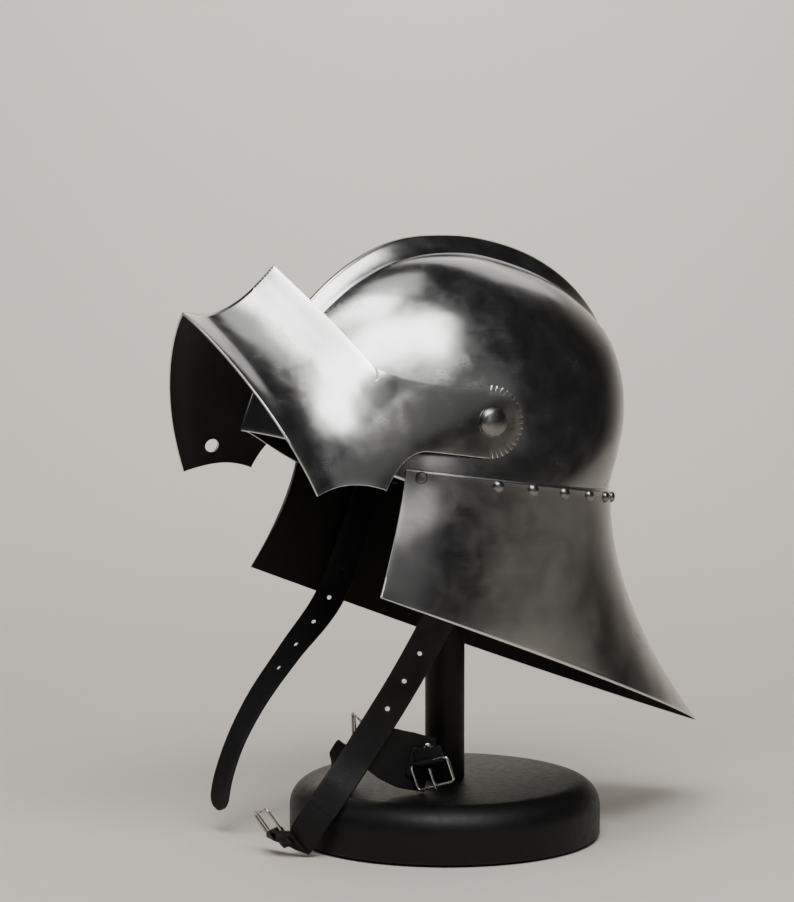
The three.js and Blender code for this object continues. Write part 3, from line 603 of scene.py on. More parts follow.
# Visor, measured from its front rim: depth back from it and drop below the ridge. In the sections,
# span is a share of the half width, ridge of the ridge's dip, and point shapes the arch.
visor = {
    "prow": (0.0, -217.1, 85.5), "rimLean": 59.8, "rimLength": 126.0, "band": 74.0, "span": 103.0,
    "drop": 145.0, "ridgeDip": 10.0, "flange": 4.0, "wall": 1.8, "apexRise": 18.0,
    "pivotBack": 26.0, "pivotRise": 37.5, "armRadius": 24.5,
    "curlAhead": 84.0, "curlUp": 26.5, "cuspAhead": 76.0, "cuspDown": 53.0, "archRise": 6.5,
    "cuspBend": (5, 14), "armBend": (-30, 18.5), "curlBend": (25, -8), "armStraight": 46,
    "slitBow": 3.2, "slitDepth": 8.2, "slitWidth": 0.9,
    "notches": 20, "notchFrom": -92.0, "notchTo": 100.0, "notchDepth": 4.4, "notchWidth": 0.42,
    "pinHole": 3.85, "cheekHole": 4.8, "cheekHoleUp": 10.5, "cheekHoleBack": 24.0,
    "mesh": 2.4, "clear": 0.9, "ridgeRows": (0.7, 1.6, 2.8, 4.3, 6.2, 8.4), "deepest": 176,
    "hammerSize": 24.0, "hammerDepth": 0.2, "hammerSeed": 5.3, "rim": 0.45,
}
visorSections = {
    "columns": ["depth", "span", "ridge", "point", "flange"],
    "rows": [
        (-0.2, 1.01, -0.25, 0.9, 0),
        (0, 1, 0, 0.9, 0),
        (0.2, 0.98, 0.8, 0.92, 0),
        (0.42, 0.975, 1, 0.98, 0),
        (0.66, 0.968, 0.72, 1.04, 0.15),
        (0.86, 0.962, 0.2, 1.09, 0.6),
        (1, 0.958, -0.2, 1.12, 1),
        (1.15, 0.957, -0.5, 1.12, 1.2),
        (1.45, 0.956, -0.6, 1.1, 1.2),
        (1.85, 0.943, -0.6, 1, 1.2),
        (2.4, 0.937, -0.6, 0.9, 1.2),
    ],
}
rimTurn = math.radians(visor["rimLean"])
prow = np.array(visor["prow"])
downRim = np.array([0, math.cos(rimTurn), -math.sin(rimTurn)])
behindRim = np.array([0, math.sin(rimTurn), math.cos(rimTurn)])
pivot = np.array([0, -visor["pivotBack"], visor["pivotRise"]])


def visorPoint(depth, drop, side):
    depth, drop = np.broadcast_arrays(np.asarray(depth, float), np.asarray(drop, float))
    share = depth / visor["band"]
    span = visor["span"] * between(visorSections, "span", share)
    ridge = visor["ridgeDip"] * between(visorSections, "ridge", share)
    point = between(visorSections, "point", share)
    rest = np.maximum(1 - drop / visor["drop"], 0)
    fade = np.clip((drop - visor["rimLength"] * 0.55) / (visor["rimLength"] * 0.25), 0, 1)
    fade = 1 - fade * fade * (3 - 2 * fade)
    flange = visor["flange"] * between(visorSections, "flange", share) * fade
    x = (span + flange) * np.maximum(1 - rest * rest, 0) ** point
    middle = prow + depth[..., None] * behindRim + (ridge + drop)[..., None] * downRim
    return middle + side * x[..., None] * np.array([1, 0, 0])


def visorPlace(points):
    # side view (y, z) to depth behind the rim and drop below the ridge
    away = np.stack([0 * points[:, 0], points[:, 0], points[:, 1]], -1) - prow
    depth = away @ behindRim
    ridge = visor["ridgeDip"] * between(visorSections, "ridge", depth / visor["band"])
    return np.stack([depth, away @ downRim - ridge], -1)


def curvePoints(points, count):
    # a Bezier of any order
    t = np.linspace(0, 1, count)[:, None]
    n = len(points) - 1
    shares = [math.comb(n, k) * (1 - t) ** (n - k) * t ** k for k in range(n + 1)]
    return sum(share * np.array(p, float) for share, p in zip(shares, points))


def circleSpot(centre, radius, turn):
    return np.array(centre) + radius * np.stack([np.cos(turn), np.sin(turn)], -1)


def circle(centre, radius, count):
    return circleSpot(centre, radius, np.linspace(0, 2 * np.pi, count, endpoint=False))


def visorOutline():
    # the edge as (depth, drop), from the prow down the rim and round the arm to the apex
    corner = (prow + downRim * visor["rimLength"])[1:]
    apex = (prow + behindRim * visor["band"] - downRim * visor["apexRise"])[1:]
    pin = pivot[1:]
    cusp = pin + (-visor["cuspAhead"], -visor["cuspDown"])
    curl = pin + (-visor["curlAhead"], visor["curlUp"])
    armLow = pin + (-2, -visor["armRadius"])
    armStart = armLow + (-visor["armStraight"], 0)
    rim = np.stack([np.zeros(64), np.linspace(0, visor["rimLength"], 64)], -1)
    archTop = ((corner[0] + cusp[0]) / 2, max(corner[1], cusp[1]) + visor["archRise"])
    arch = curvePoints([corner, archTop, cusp], 26)[1:]
    cuspBend = visor["cuspBend"]
    under = curvePoints([cusp, cusp + cuspBend, (cusp[0] + cuspBend[1], armLow[1] - 1), armStart], 22)[1:]
    straight = np.linspace(armStart, armLow, 20)[1:]
    pitch = (visor["notchTo"] - visor["notchFrom"]) / visor["notches"]
    end = []
    for i in range(visor["notches"]):
        start = visor["notchFrom"] + pitch * i
        gap = pitch * visor["notchWidth"]
        reach = (visor["armRadius"], visor["armRadius"], visor["armRadius"] - visor["notchDepth"])
        for turn, radius in zip((start, start + pitch - gap, start + pitch - gap / 2), reach):
            end.append(circleSpot(pin, radius, math.radians(turn)))
    top = circleSpot(pin, visor["armRadius"], math.radians(visor["notchTo"]))
    over = curvePoints([top, pin + visor["armBend"], curl + visor["curlBend"], curl], 34)
    back = np.linspace(curl, apex, 70)[1:]
    # a short curved slit lets the turned edge end where the arm starts
    bow, deep, half = visor["slitBow"], visor["slitDepth"], visor["slitWidth"] / 2
    near, far = (
        curvePoints([curl + (way, 0), curl + (bow + way, -deep * 0.58), curl + (way * 0.8, -deep)], 11)
        for way in (half, -half)
    )
    over, back = (line[np.linalg.norm(line - curl, axis=1) > half + 0.6] for line in (over, back))
    side = visorPlace(np.concatenate([arch, under, straight, np.array(end), over, near, far[::-1], back]))
    side = side[(side[:, 1] > 0.6) | (side[:, 0] < 40)]  # the back edge stops short of the ridge line
    ridge = np.stack([np.linspace(side[-1, 0] - 0.4, 0, 34), np.zeros(34)], -1)[:-1]
    return np.concatenate([rim, side, ridge])


def insidePolygon(points, polygon):
    x, y = points[:, 0], points[:, 1]
    inside = np.zeros(len(points), bool)
    for (ax, ay), (bx, by) in zip(polygon, np.roll(polygon, -1, 0)):
        crosses = (ay > y) != (by > y)
        with np.errstate(divide="ignore", invalid="ignore"):
            inside ^= crosses & (x < (bx - ax) * (y - ay) / (by - ay) + ax)
    return inside


def clearOf(points, lines, gap):
    tree = treeOf([(x, y, 0) for x, y in lines])
    return np.array([tree.find((x, y, 0))[2] > gap for x, y in points], bool)


def fillOutline(outline, holes, inner):
    # triangles that fill an outline less its holes, through the inner points
    loops = [outline, *holes]
    fixed = np.concatenate(loops)
    inner = inner[insidePolygon(inner, outline)]
    for hole in holes:
        inner = inner[~insidePolygon(inner, hole)]
    edges = []
    start = 0
    for loop in loops:
        edges += [(start + i, start + (i + 1) % len(loop)) for i in range(len(loop))]
        start += len(loop)
    flat = [Vector(p) for p in np.concatenate([fixed, inner]).tolist()]
    points, _, faces, *_ = delaunay_2d_cdt(flat, edges, [], 1, 1e-6)
    points = np.array([tuple(p) for p in points])
    middles = np.array([points[list(face)].mean(0) for face in faces])
    keep = insidePolygon(middles, outline)
    for hole in holes:
        keep &= ~insidePolygon(middles, hole)
    return points, [tuple(face) for face, kept in zip(faces, keep) if kept]


def facingOut(triangles, points, out):
    # a triangle faces outwards when its corners turn with the surface's own normal
    a, b, c = (points[[triangle[k] for triangle in triangles]] for k in range(3))
    lean = np.sum(np.cross(b - a, c - a) * out[[triangle[0] for triangle in triangles]], axis=1)
    return [triangle if way > 0 else triangle[::-1] for triangle, way in zip(triangles, lean)]


def makeVisor():
    outline = visorOutline()
    mesh = visor["mesh"]
    ridgeRows = visor["ridgeRows"]
    drops = np.concatenate([ridgeRows[:-1], np.arange(ridgeRows[-1], visor["drop"] + 60, mesh)])
    depths = np.arange(mesh, visor["deepest"], mesh)
    grid = np.stack(np.meshgrid(depths, drops), -1).reshape(-1, 2)
    pinPlace = visorPlace(pivot[None, 1:])[0]
    holeAt = prow + downRim * (visor["rimLength"] - visor["cheekHoleUp"]) + behindRim * visor["cheekHoleBack"]
    pin = circle(pinPlace, visor["pinHole"], 20)
    vent = circle(visorPlace(holeAt[None, 1:])[0], visor["cheekHole"], 32)
    outer, inner, faces, normals = [], [], [], []
    for side, holes in ((1, [pin]), (-1, [pin, vent])):
        edge = np.concatenate([outline, *holes])
        points, triangles = fillOutline(outline, holes, grid[clearOf(grid, edge, visor["clear"])])
        offset = sum(len(sheet) for sheet in outer)
        depth, drop = points.T
        skin = visorPoint(depth, drop, side)
        step = 0.25
        alongDepth = visorPoint(depth + step, drop, side) - visorPoint(depth - step, drop, side)
        low = np.maximum(drop - step, 0)
        alongDrop = visorPoint(depth, low + 2 * step, side) - visorPoint(depth, low, side)
        out = unit(np.cross(alongDrop, alongDepth)) * side
        out[drop < 0.05, 0] = 0  # on the ridge
        out = unit(out)
        outer.append(skin + out * hammered(skin, visor))
        inner.append(skin - out * visor["wall"])
        normals.append(out)
        faces += [tuple(offset + i for i in face) for face in facingOut(triangles, skin, out)]
    outer, inner, normals = (np.concatenate(v) for v in (outer, inner, normals))
    piece = makePlate("visorPlate", onStand(outer), onStand(inner), faces, visor["rim"] * mm,
                      [plateSteel, insideShadeBlack], unit(turned(normals)))
    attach(piece, visorBody)
    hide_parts("visor")


makeVisor()
print("visor made")


# Rivets

def lathe(profile, segments, place=Matrix.Identity(4)):
    # points and faces of a turned shape; the profile runs (radius, height) in millimetres, bottom to top
    points, faces = [], []
    rings = []
    for radius, height in profile:
        count = segments if radius > 0.001 else 1
        rings.append(list(range(len(points), len(points) + count)))
        for i in range(count):
            turn = 2 * math.pi * i / segments
            spot = Vector((radius * math.cos(turn), radius * math.sin(turn), height))
            points.append(place @ (spot * mm))
    for low, high in zip(rings[:-1], rings[1:]):
        for i in range(segments):
            a, b = low[i % len(low)], low[(i + 1) % len(low)]
            c, d = high[(i + 1) % len(high)], high[i % len(high)]
            face = [a] + ([b] if b != a else []) + [c] + ([d] if d != c else [])
            if len(face) > 2:
                faces.append(tuple(face))
    return points, faces


def meshPiece(name, shape, material, sharp=40):
    points, faces = shape
    mesh = bpy.data.meshes.new(name)
    mesh.from_pydata([tuple(p) for p in points], [], faces)
    mesh.polygons.foreach_set("use_smooth", [True] * len(mesh.polygons))
    mesh.attributes.new("edgeWear", "FLOAT", "POINT")
    mesh.update()
    mesh.set_sharp_from_angle(angle=math.radians(sharp))
    return makeObject(name, mesh, [material])


rivet = {
    "radius": 4.1, "rise": 2.8, "drop": 5.0, "pitch": 27.3, "lift": 0.1, "rounds": 20, "rings": 12,
    "endPitches": 2.2,  # pitches at the waist's front end that stay free
}


def rivetPlaces():
    grow = tail["gap"] + tail["wall"]
    top, bottom = tailLine(grow, *tail["fineColumns"])
    drops = [rivet["drop"] - rivet["radius"], rivet["drop"], rivet["drop"] + rivet["radius"]]
    above, line, below = (tailPoint(top, bottom, drop / lowerEdge(bottom[:, 1]))[::-1] for drop in drops)
    run = np.concatenate([[0], np.cumsum(np.linalg.norm(np.diff(line, axis=0), axis=1))])
    places = []
    for along in np.arange(0, run[-1] - rivet["endPitches"] * rivet["pitch"], rivet["pitch"]):
        at, up, down, ahead, back = (
            np.array([np.interp(along + shift, run, source[:, k]) for k in range(3)])
            for source, shift in ((line, 0), (above, 0), (below, 0), (line, 2), (line, -2))
        )
        out = unit(np.cross(ahead - back, down - up))
        if np.dot(out, at - np.array([0, skull["middle"], at[2]])) < 0:
            out = -out
        for side in ((1,) if along == 0 else (1, -1)):
            flip = np.array([side, 1, 1])
            places.append((at * flip, out * flip * (np.array([0, 1, 1]) if along == 0 else 1)))
    return places


def makeTailRivets():
    # points along the waist carry the way out of the plate, and a node tree sets a domed head on each point
    places = rivetPlaces()
    at = onStand(np.array([p for p, _ in places]))
    out = unit(turned(np.array([o for _, o in places])))
    mesh = bpy.data.meshes.new("tailRivets")
    mesh.from_pydata((at + out * rivet["lift"] * mm).tolist(), [], [])
    mesh.attributes.new("wayOut", "FLOAT_VECTOR", "POINT").data.foreach_set("vector", out.ravel())
    holder = makeObject("tailRivetsSource", mesh, [])
    tree = bpy.data.node_groups.new("rivetRow", "GeometryNodeTree")
    tree.interface.new_socket("Geometry", in_out="INPUT", socket_type="NodeSocketGeometry")
    for name in ("headRadius", "headRise"):
        tree.interface.new_socket(name, in_out="INPUT", socket_type="NodeSocketFloat")
    tree.interface.new_socket("Geometry", in_out="OUTPUT", socket_type="NodeSocketGeometry")
    given = add(tree, "NodeGroupInput")
    ball = add(tree, "GeometryNodeMeshUVSphere", {
        "Segments": rivet["rounds"], "Rings": rivet["rings"], "Radius": 1.0,
    })
    size = add(tree, "ShaderNodeCombineXYZ", {
        0: given.outputs["headRadius"], 1: given.outputs["headRadius"], 2: given.outputs["headRise"],
    })
    dome = add(tree, "GeometryNodeTransform", {"Geometry": ball.outputs["Mesh"], "Scale": size.outputs[0]})
    way = add(tree, "GeometryNodeInputNamedAttribute", {"Name": "wayOut"}, data_type="FLOAT_VECTOR")
    turn = add(tree, "FunctionNodeAlignRotationToVector", {"Vector": way.outputs[0]}, axis="Z")
    heads = add(tree, "GeometryNodeInstanceOnPoints", {
        "Points": given.outputs["Geometry"], "Instance": dome.outputs[0], "Rotation": turn.outputs[0],
    })
    whole = add(tree, "GeometryNodeRealizeInstances", {0: heads.outputs[0]})
    shaded = add(tree, "GeometryNodeSetShadeSmooth", {"Geometry": whole.outputs[0]})
    steel = add(tree, "GeometryNodeSetMaterial", {"Geometry": shaded.outputs[0], "Material": rivetSteel})
    add(tree, "NodeGroupOutput", {"Geometry": steel.outputs[0]})
    modifier = holder.modifiers.new("rivets", "NODES")
    modifier.node_group = tree
    sizes = {"headRadius": rivet["radius"] * mm, "headRise": rivet["rise"] * mm}
    for socket in tree.interface.items_tree:
        if socket.in_out == "INPUT" and socket.name in sizes:
            modifier[socket.identifier] = sizes[socket.name]
    depsgraph = bpy.context.evaluated_depsgraph_get()
    result = bpy.data.meshes.new_from_object(holder.evaluated_get(depsgraph), depsgraph=depsgraph)
    bpy.data.objects.remove(holder)
    result.name = "tailRivets"
    piece = makeObject("tailRivets", result, [])
    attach(piece, rootBody)
    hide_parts(*[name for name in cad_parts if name.startswith("tail_rivet")])


makeTailRivets()


def widthAt(y, z):
    # half width of the visor beside a place in the side view
    depth, drop = visorPlace(np.array([[y, z]]))[0]
    return float(visorPoint(depth, drop, 1)[0])


pivotHead = {
    "radius": 10.2, "rise": 5.5, "rim": 0.75, "gap": 0.35, "shank": 3.5, "shankLength": 6.0, "rounds": 56,
}
flushHead = {"proud": 0.34, "seam": 0.5, "rounds": 40}


def standing(spot, way):
    # a turned shape's place, with its own Z along the given way
    return Matrix.Translation(spot) @ way.to_track_quat("Z", "X").to_matrix().to_4x4()


def makePivotRivets():
    radius, rim, shank, deep = (pivotHead[key] for key in ("radius", "rim", "shank", "shankLength"))
    profile = [(0, -deep), (shank, -deep), (shank, 0), (radius - 0.5, 0), (radius - 0.12, 0.2), (radius, rim)]
    for turn in np.linspace(0, math.pi / 2, 13)[1:]:
        profile.append((radius * math.cos(turn), rim + (pivotHead["rise"] - rim) * math.sin(turn)))
    seatAt = widthAt(pivot[1] - radius, pivot[2]) + pivotHead["gap"]
    for side, word in ((1, "left"), (-1, "right")):
        place = standing(Vector(onStand((side * seatAt, pivot[1], pivot[2]))), Vector((side, 0, 0)))
        head = lathe(profile, pivotHead["rounds"], place)
        piece = meshPiece(f"pivotRivet_{word}", head, rivetSteel, sharp=50)
        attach(piece, rootBody)
        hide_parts(f"pivot_rivet_{word}")


def onPlate(spot, side):
    # the nearest place on the tail's face, and the way out of the plate there
    top, bottom = tailLine(tail["gap"] + tail["wall"], *tail["fineColumns"])
    shares = [drop / lowerEdge(bottom[:, 1]) for drop in np.arange(1, 14)]
    sheet = onStand(np.stack([tailPoint(top, bottom, share) for share in shares]) * np.array([side, 1, 1]))
    far = np.linalg.norm(sheet - np.array(spot), axis=-1)[1:-1, 1:-1]
    r, c = np.unravel_index(np.argmin(far), far.shape)
    out = unit(np.cross(sheet[r + 2, c + 1] - sheet[r, c + 1], sheet[r + 1, c + 2] - sheet[r + 1, c]))
    out = Vector(out * side * np.sign(out[0]))
    return spot + out * (Vector(sheet[r + 1, c + 1]) - spot).dot(out), out


def makeFlushRivets():
    for side, word in ((1, "left"), (-1, "right")):
        low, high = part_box(f"flush_rivet_{word}")
        wide = (high.z - low.z) / 2 / mm
        half = tail["wall"] / 2
        face, way = onPlate((low + high) / 2, side)
        place = standing(face - way * half * mm, way)
        proud = flushHead["proud"]
        profile = [(0, -half), (wide, -half), (wide, half + proud * 0.4), (wide - 0.3, half + proud * 0.75)]
        profile += [(wide * 0.5, half + proud * 0.95), (0, half + proud)]
        rounds = flushHead["rounds"]
        piece = meshPiece(f"flushRivet_{word}", lathe(profile, rounds, place), rivetSteel, sharp=30)
        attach(piece, rootBody)
        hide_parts(f"flush_rivet_{word}")
        # a dark ring of painted shade stands in the seam round the head
        out = wide + flushHead["seam"]
        low, high = half - 0.2, half + proud * 0.7
        ring = [(wide, low), (out, low), (out, high - 0.1), (wide, high), (wide, low)]
        points, faces = lathe(ring, rounds, place)
        closed = len(points) - rounds
        faces = [tuple(i - closed if i >= closed else i for i in face) for face in faces]
        seamShadePiece = meshPiece(f"flushSeamShade_{word}", (points[:closed], faces), insideShadeBlack, sharp=30)
        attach(seamShadePiece, rootBody)


makePivotRivets()
makeFlushRivets()
print("rivets made")


# Stand: a turned disc with a large rounded edge, and a post with a domed cap inside the skull
stand = {
    "radius": 110.0, "height": 40.0, "flat": 92.0, "filletRise": 18.0, "foot": 107.0, "footRise": 3.0,
    "post": 14.0, "capRadius": 30.0, "capBall": 42.0, "capRim": 6.0, "capTaper": 8.0,
    "rounds": 144, "postRounds": 72,
}


def makeStand():
    flat, drop, tall = stand["flat"], stand["filletRise"], stand["height"]
    fillet = stand["radius"] - flat
    profile = [(0, 0), (stand["foot"] - 0.6, 0), (stand["foot"], 0.25), (stand["radius"], stand["footRise"])]
    for turn in np.linspace(0, math.pi / 2, 29):
        profile.append((flat + fillet * math.cos(turn), tall - drop + drop * math.sin(turn)))
    profile += [(radius, tall) for radius in (60, 40, 22, 0)]
    base = meshPiece("standBase", lathe(profile, stand["rounds"]), standLacquer)
    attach(base, rootBody)
    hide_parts("stand_base")
    low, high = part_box("stand_post")
    top, foot = high.z / mm, low.z / mm
    wide, ball, radius = stand["capRadius"], stand["capBall"], stand["post"]
    under = top - (ball - math.sqrt(ball ** 2 - wide ** 2)) - stand["capRim"]
    profile = [(0, foot), (radius - 0.5, foot), (radius, foot + 0.5)]
    profile += [(radius, height) for height in np.linspace(foot + 6, under - stand["capTaper"], 12)]
    profile += [(wide - 1, under - 0.3), (wide, under + 0.7)]
    for radius in np.linspace(wide, 0, 13):
        profile.append((radius, top - ball + math.sqrt(ball ** 2 - radius ** 2)))
    post = meshPiece("standPost", lathe(profile, stand["postRounds"]), standLacquer)
    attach(post, rootBody)
    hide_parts("stand_post")


makeStand()
print("stand made")


# Straps: each runs through stations with a place, the way its face looks, and a width, all in millimetres
strapWork = {
    "wall": 2.6, "mesh": 1.7, "rim": 0.8, "wear": 0.9, "width": 22.0, "padWidth": 38.0, "hole": 1.6,
    "nearHoles": (141, 22.4, 3), "farHoles": (91, 21.2, 5),  # the first one's place, the pitch and the count
    "hammerSize": 9.0, "hammerDepth": 0.12, "hammerSeed": 2.2,  # the leather's own waves
}
baseHeight = stand["height"]
baseRadius = stand["radius"]


def throughPoints(points, at):
    # a centripetal curve through the points; at runs 0 to 1 with an equal share for each stretch
    points = np.array(points, float)
    padded = np.concatenate([[2 * points[0] - points[1]], points, [2 * points[-1] - points[-2]]])
    place = np.clip(at, 0, 1) * (len(points) - 1)
    result = []
    for p in np.atleast_1d(place):
        i = min(int(p), len(points) - 2)
        t = p - i
        p0, p1, p2, p3 = padded[i:i + 4]
        d0, d1, d2 = (max(np.linalg.norm(b - a), 1e-8) ** 0.5 for a, b in ((p0, p1), (p1, p2), (p2, p3)))
        m1 = ((p1 - p0) / d0 - (p2 - p0) / (d0 + d1) + (p2 - p1) / d1) * d1
        m2 = ((p2 - p1) / d1 - (p3 - p1) / (d1 + d2) + (p3 - p2) / d2) * d1
        rise = t * t * (3 - 2 * t)
        result.append(p1 * (1 - rise) + p2 * rise + m1 * t * (1 - t) ** 2 - m2 * t * t * (1 - t))
    return np.array(result)


class Route:
    # a strap's middle line, measured along its length
    def __init__(self, stations):
        self.t = np.linspace(0, 1, 401)
        self.line = throughPoints([s[0] for s in stations], self.t)
        self.face = unit(throughPoints([s[1] for s in stations], self.t))
        place = self.t * (len(stations) - 1)
        self.wide = np.interp(place, np.arange(len(stations)), [s[2] for s in stations])
        steps = np.linalg.norm(np.diff(self.line, axis=0), axis=1)
        self.run = np.concatenate([[0], np.cumsum(steps)])
        self.length = self.run[-1]
        tangent = unit(np.gradient(self.line, axis=0))
        self.across = unit(np.cross(tangent, self.face))
        self.out = unit(np.cross(self.across, tangent))

    def at(self, along, values):
        if values.ndim == 1:
            return np.interp(along, self.run, values)
        return np.stack([np.interp(along, self.run, values[:, k]) for k in range(3)], -1)

    def skin(self, places, lift):
        along, side = places[:, 0], places[:, 1]
        return (self.at(along, self.line) + unit(self.at(along, self.across)) * side[:, None]
                + unit(self.at(along, self.out)) * np.asarray(lift)[:, None])


def makeStrap(name, stations, node, holes=(0, 0, 0), roundEnd=False, cup=0.0):
    route = Route(stations)
    step = strapWork["mesh"]
    along = np.arange(0, route.length + step / 2, step)
    along[-1] = route.length
    half = route.at(along, route.wide) / 2
    if roundEnd:
        left = (route.length - along) / half
        half = half * np.where(left < 1, np.sqrt(np.maximum(1 - (1 - np.minimum(left, 1)) ** 2, 0.01)), 1)
    low = np.stack([along, -half], -1)
    high = np.stack([along[::-1], half[::-1]], -1)
    endCount = max(int(2 * half[-1] / step), 1)
    startCount = int(2 * half[0] / step)
    endSides = np.linspace(-half[-1], half[-1], endCount + 1)[1:-1]
    startSides = np.linspace(half[0], -half[0], startCount + 1)[1:-1]
    endLine = np.stack([np.full(len(endSides), along[-1]), endSides], -1)
    startLine = np.stack([np.zeros(len(startSides)), startSides], -1)
    outline = np.concatenate([low, endLine, high, startLine])
    first, pitch, count = holes
    rings = [circle((first + pitch * i, 0), strapWork["hole"], 18) for i in range(count)]
    reach = half.max()
    grid = np.stack(np.meshgrid(along[1:-1], np.arange(-reach, reach + step, step)), -1).reshape(-1, 2)
    grid = grid[clearOf(grid, np.concatenate([outline, *rings]), step * 0.6)]
    points, faces = fillOutline(outline, rings, grid)
    wide = route.at(points[:, 0], route.wide) / 2
    hollow = cup * (np.abs(points[:, 1]) / wide) ** 2
    outer = route.skin(points, strapWork["wall"] / 2 - hollow)
    inner = route.skin(points, -strapWork["wall"] / 2 - hollow)
    out = unit(outer - inner)
    outer = outer + out * hammered(outer, strapWork)
    faces = facingOut(faces, outer, out)
    rim = strapWork["rim"] * mm
    piece = makePlate(name, outer * mm, inner * mm, faces, rim, [strapLeather], wearSize=strapWork["wear"])
    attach(piece, rootBody)
    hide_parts(node)
    return route


# the straps' hidden ends lie against the skull's inner face
strapHold = {"behindPivot": 16.0, "level": 8.0, "top": 6.0, "gap": 0.35}


def strapRoot(side, down):
    y = strapHold["behindPivot"] - visor["pivotBack"]
    ahead = skull["middle"] - y + strapWork["width"] / 2
    up = strapHold["level"] + skull["skirt"]
    turn = math.degrees(math.atan2(up, ahead))
    reach = skull["crown"] * float(between(skullSections, "reach", np.array(turn))) - skull["wall"]
    share = min(math.hypot(up, ahead) / reach, 1)
    wallAt = float(skullPoint(turn, math.acos(share) / (math.pi / 2), -skull["wall"])[0])
    x = wallAt - strapHold["gap"] - strapWork["wall"] / 2
    return tuple(onStand((side * x, y, strapHold["top"] - down)) / mm)


wide = strapWork["width"]
pad = strapWork["padWidth"]


def hanging(across, ahead, up, face, width):
    # across is a share of the skull's half width, ahead of the base's radius, up of the way to the waist
    level = baseHeight + up * (seat["waistHeight"] - baseHeight)
    return (across * skull["halfWidth"], -ahead * baseRadius, level), face, width


nearStations = [
    (strapRoot(1, 0), (1, 0, 0), wide),
    (strapRoot(1, 20), (1, 0, -0.1), wide),
    hanging(0.84, 0.218, 0.785, (0.95, -0.25, 0.1), wide),
    hanging(0.553, 0.4, 0.502, (0.88, -0.46, 0.1), wide),
    hanging(0.398, 0.534, 0.334, (0.87, -0.48, 0.1), wide),
    hanging(0.282, 0.779, 0.125, (0.86, -0.5, 0.1), wide),
    hanging(0.303, 0.945, 0.030, (0.82, -0.56, 0.12), wide),
    hanging(0.256, 1.086, -0.071, (0.82, -0.56, 0.12), wide),
    hanging(0.189, 1.133, -0.130, (0.86, -0.5, 0.1), wide * 0.9),
]
farStations = [
    (strapRoot(-1, 0), (-1, 0, 0), wide),
    (strapRoot(-1, 20), (-1, 0, 0), wide),
    hanging(-0.894, 0.255, 0.753, (-0.95, 0.1, -0.2), wide),
    hanging(-0.872, 0.455, 0.548, (-0.7, 0.6, -0.4), wide),
    hanging(-0.862, 0.745, 0.384, (-0.35, 0.85, -0.42), wide),
    hanging(-0.851, 0.982, 0.242, (-0.22, 0.9, -0.38), wide),
    hanging(-0.84, 1.145, 0.11, (-0.12, 0.92, -0.32), wide),
    hanging(-0.819, 1.245, -0.009, (-0.12, 0.95, -0.15), wide),
    hanging(-0.809, 1.282, -0.105, (-0.12, 0.98, 0), wide),
]
padStations = [
    hanging(0.277, 0.697, 0.149, (0.87, -0.48, 0.1), pad * 0.7),
    hanging(0.32, 0.59, 0.131, (0.87, -0.48, 0.1), pad * 0.95),
    hanging(0.36, 0.465, 0.106, (0.87, -0.48, 0.1), pad * 1.05),
    hanging(0.414, 0.317, 0.086, (0.87, -0.48, 0.1), pad),
]
rearStations = [
    hanging(-0.203, 0.609, 0.104, (0.8, -0.6, 0.2), wide),
    hanging(-0.283, 0.637, 0.051, (0.7, -0.6, 0.4), wide),
    hanging(-0.359, 0.653, 0.017, (0.5, -0.5, 0.7), wide),
]
nearRoute = makeStrap("strapLeft", nearStations, "chin_strap_left", strapWork["nearHoles"])
farRoute = makeStrap("strapRight", farStations, "chin_strap_right", strapWork["farHoles"],
                     roundEnd=True, cup=0.5)
padRoute = makeStrap("chinPad", padStations, "chin_pad")
rearRoute = makeStrap("strapRear", rearStations, "chin_strap_rear", roundEnd=True)
print("straps made", round(nearRoute.length), round(farRoute.length))


# Buckles: a wire frame, the prong hinged on its bar, and the leather loop folded round the bar.
# under is how far a loop comes back below the bar, overlap how far it lies on its strap.
buckle = {
    "wire": 2.2, "long": 30.0, "short": 20.0, "corner": 3.5, "loopWall": 2.0, "gap": 0.35, "play": 4.0,
    "wrapTurn": 1.75, "prongTaper": (0.9, 1, 1, 1, 1, 1, 1, 0.98, 0.92, 0.82, 0.7, 0.45),
    "under": {"front": 21.0, "side": 14.0, "rear": 15.0},
    "overlap": {"front": 26, "side": 16, "rear": 10},
}


def besideEnd(end, across, ahead, up):
    # beside an end of the leather that carries the buckle, by shares of the buckle's own length
    return tuple(np.array(end) + buckle["short"] * np.array([across, -ahead, up]))


# where each frame's middle is, the way it runs from its bar, and the way its face looks
buckles = {
    "front": (besideEnd(nearRoute.line[-1], -0.86, 0.84, 0.57), (-0.35, -0.47, 0.81), (0.04, -0.86, -0.485)),
    "side": (besideEnd(padRoute.line[-1], 0.6, 0.25, -0.17), (0.22, 0.22, -0.95), (0.58, -0.82, 0.1)),
    "rear": (besideEnd(rearRoute.line[0], 0.35, -0.2, 0.75), (0.1, -0.1, 1), (-0.2, -0.98, 0)),
}


def sweepFaces(rows, around, closed):
    # faces between rings of points, with a face over each end where the sweep is open
    faces = []
    for i in range(rows if closed else rows - 1):
        n = (i + 1) % rows
        for k in range(around):
            m = (k + 1) % around
            faces.append((i * around + k, i * around + m, n * around + m, n * around + k))
    if not closed:
        faces.append(tuple(range(around))[::-1])
        faces.append(tuple((rows - 1) * around + k for k in range(around)))
    return faces


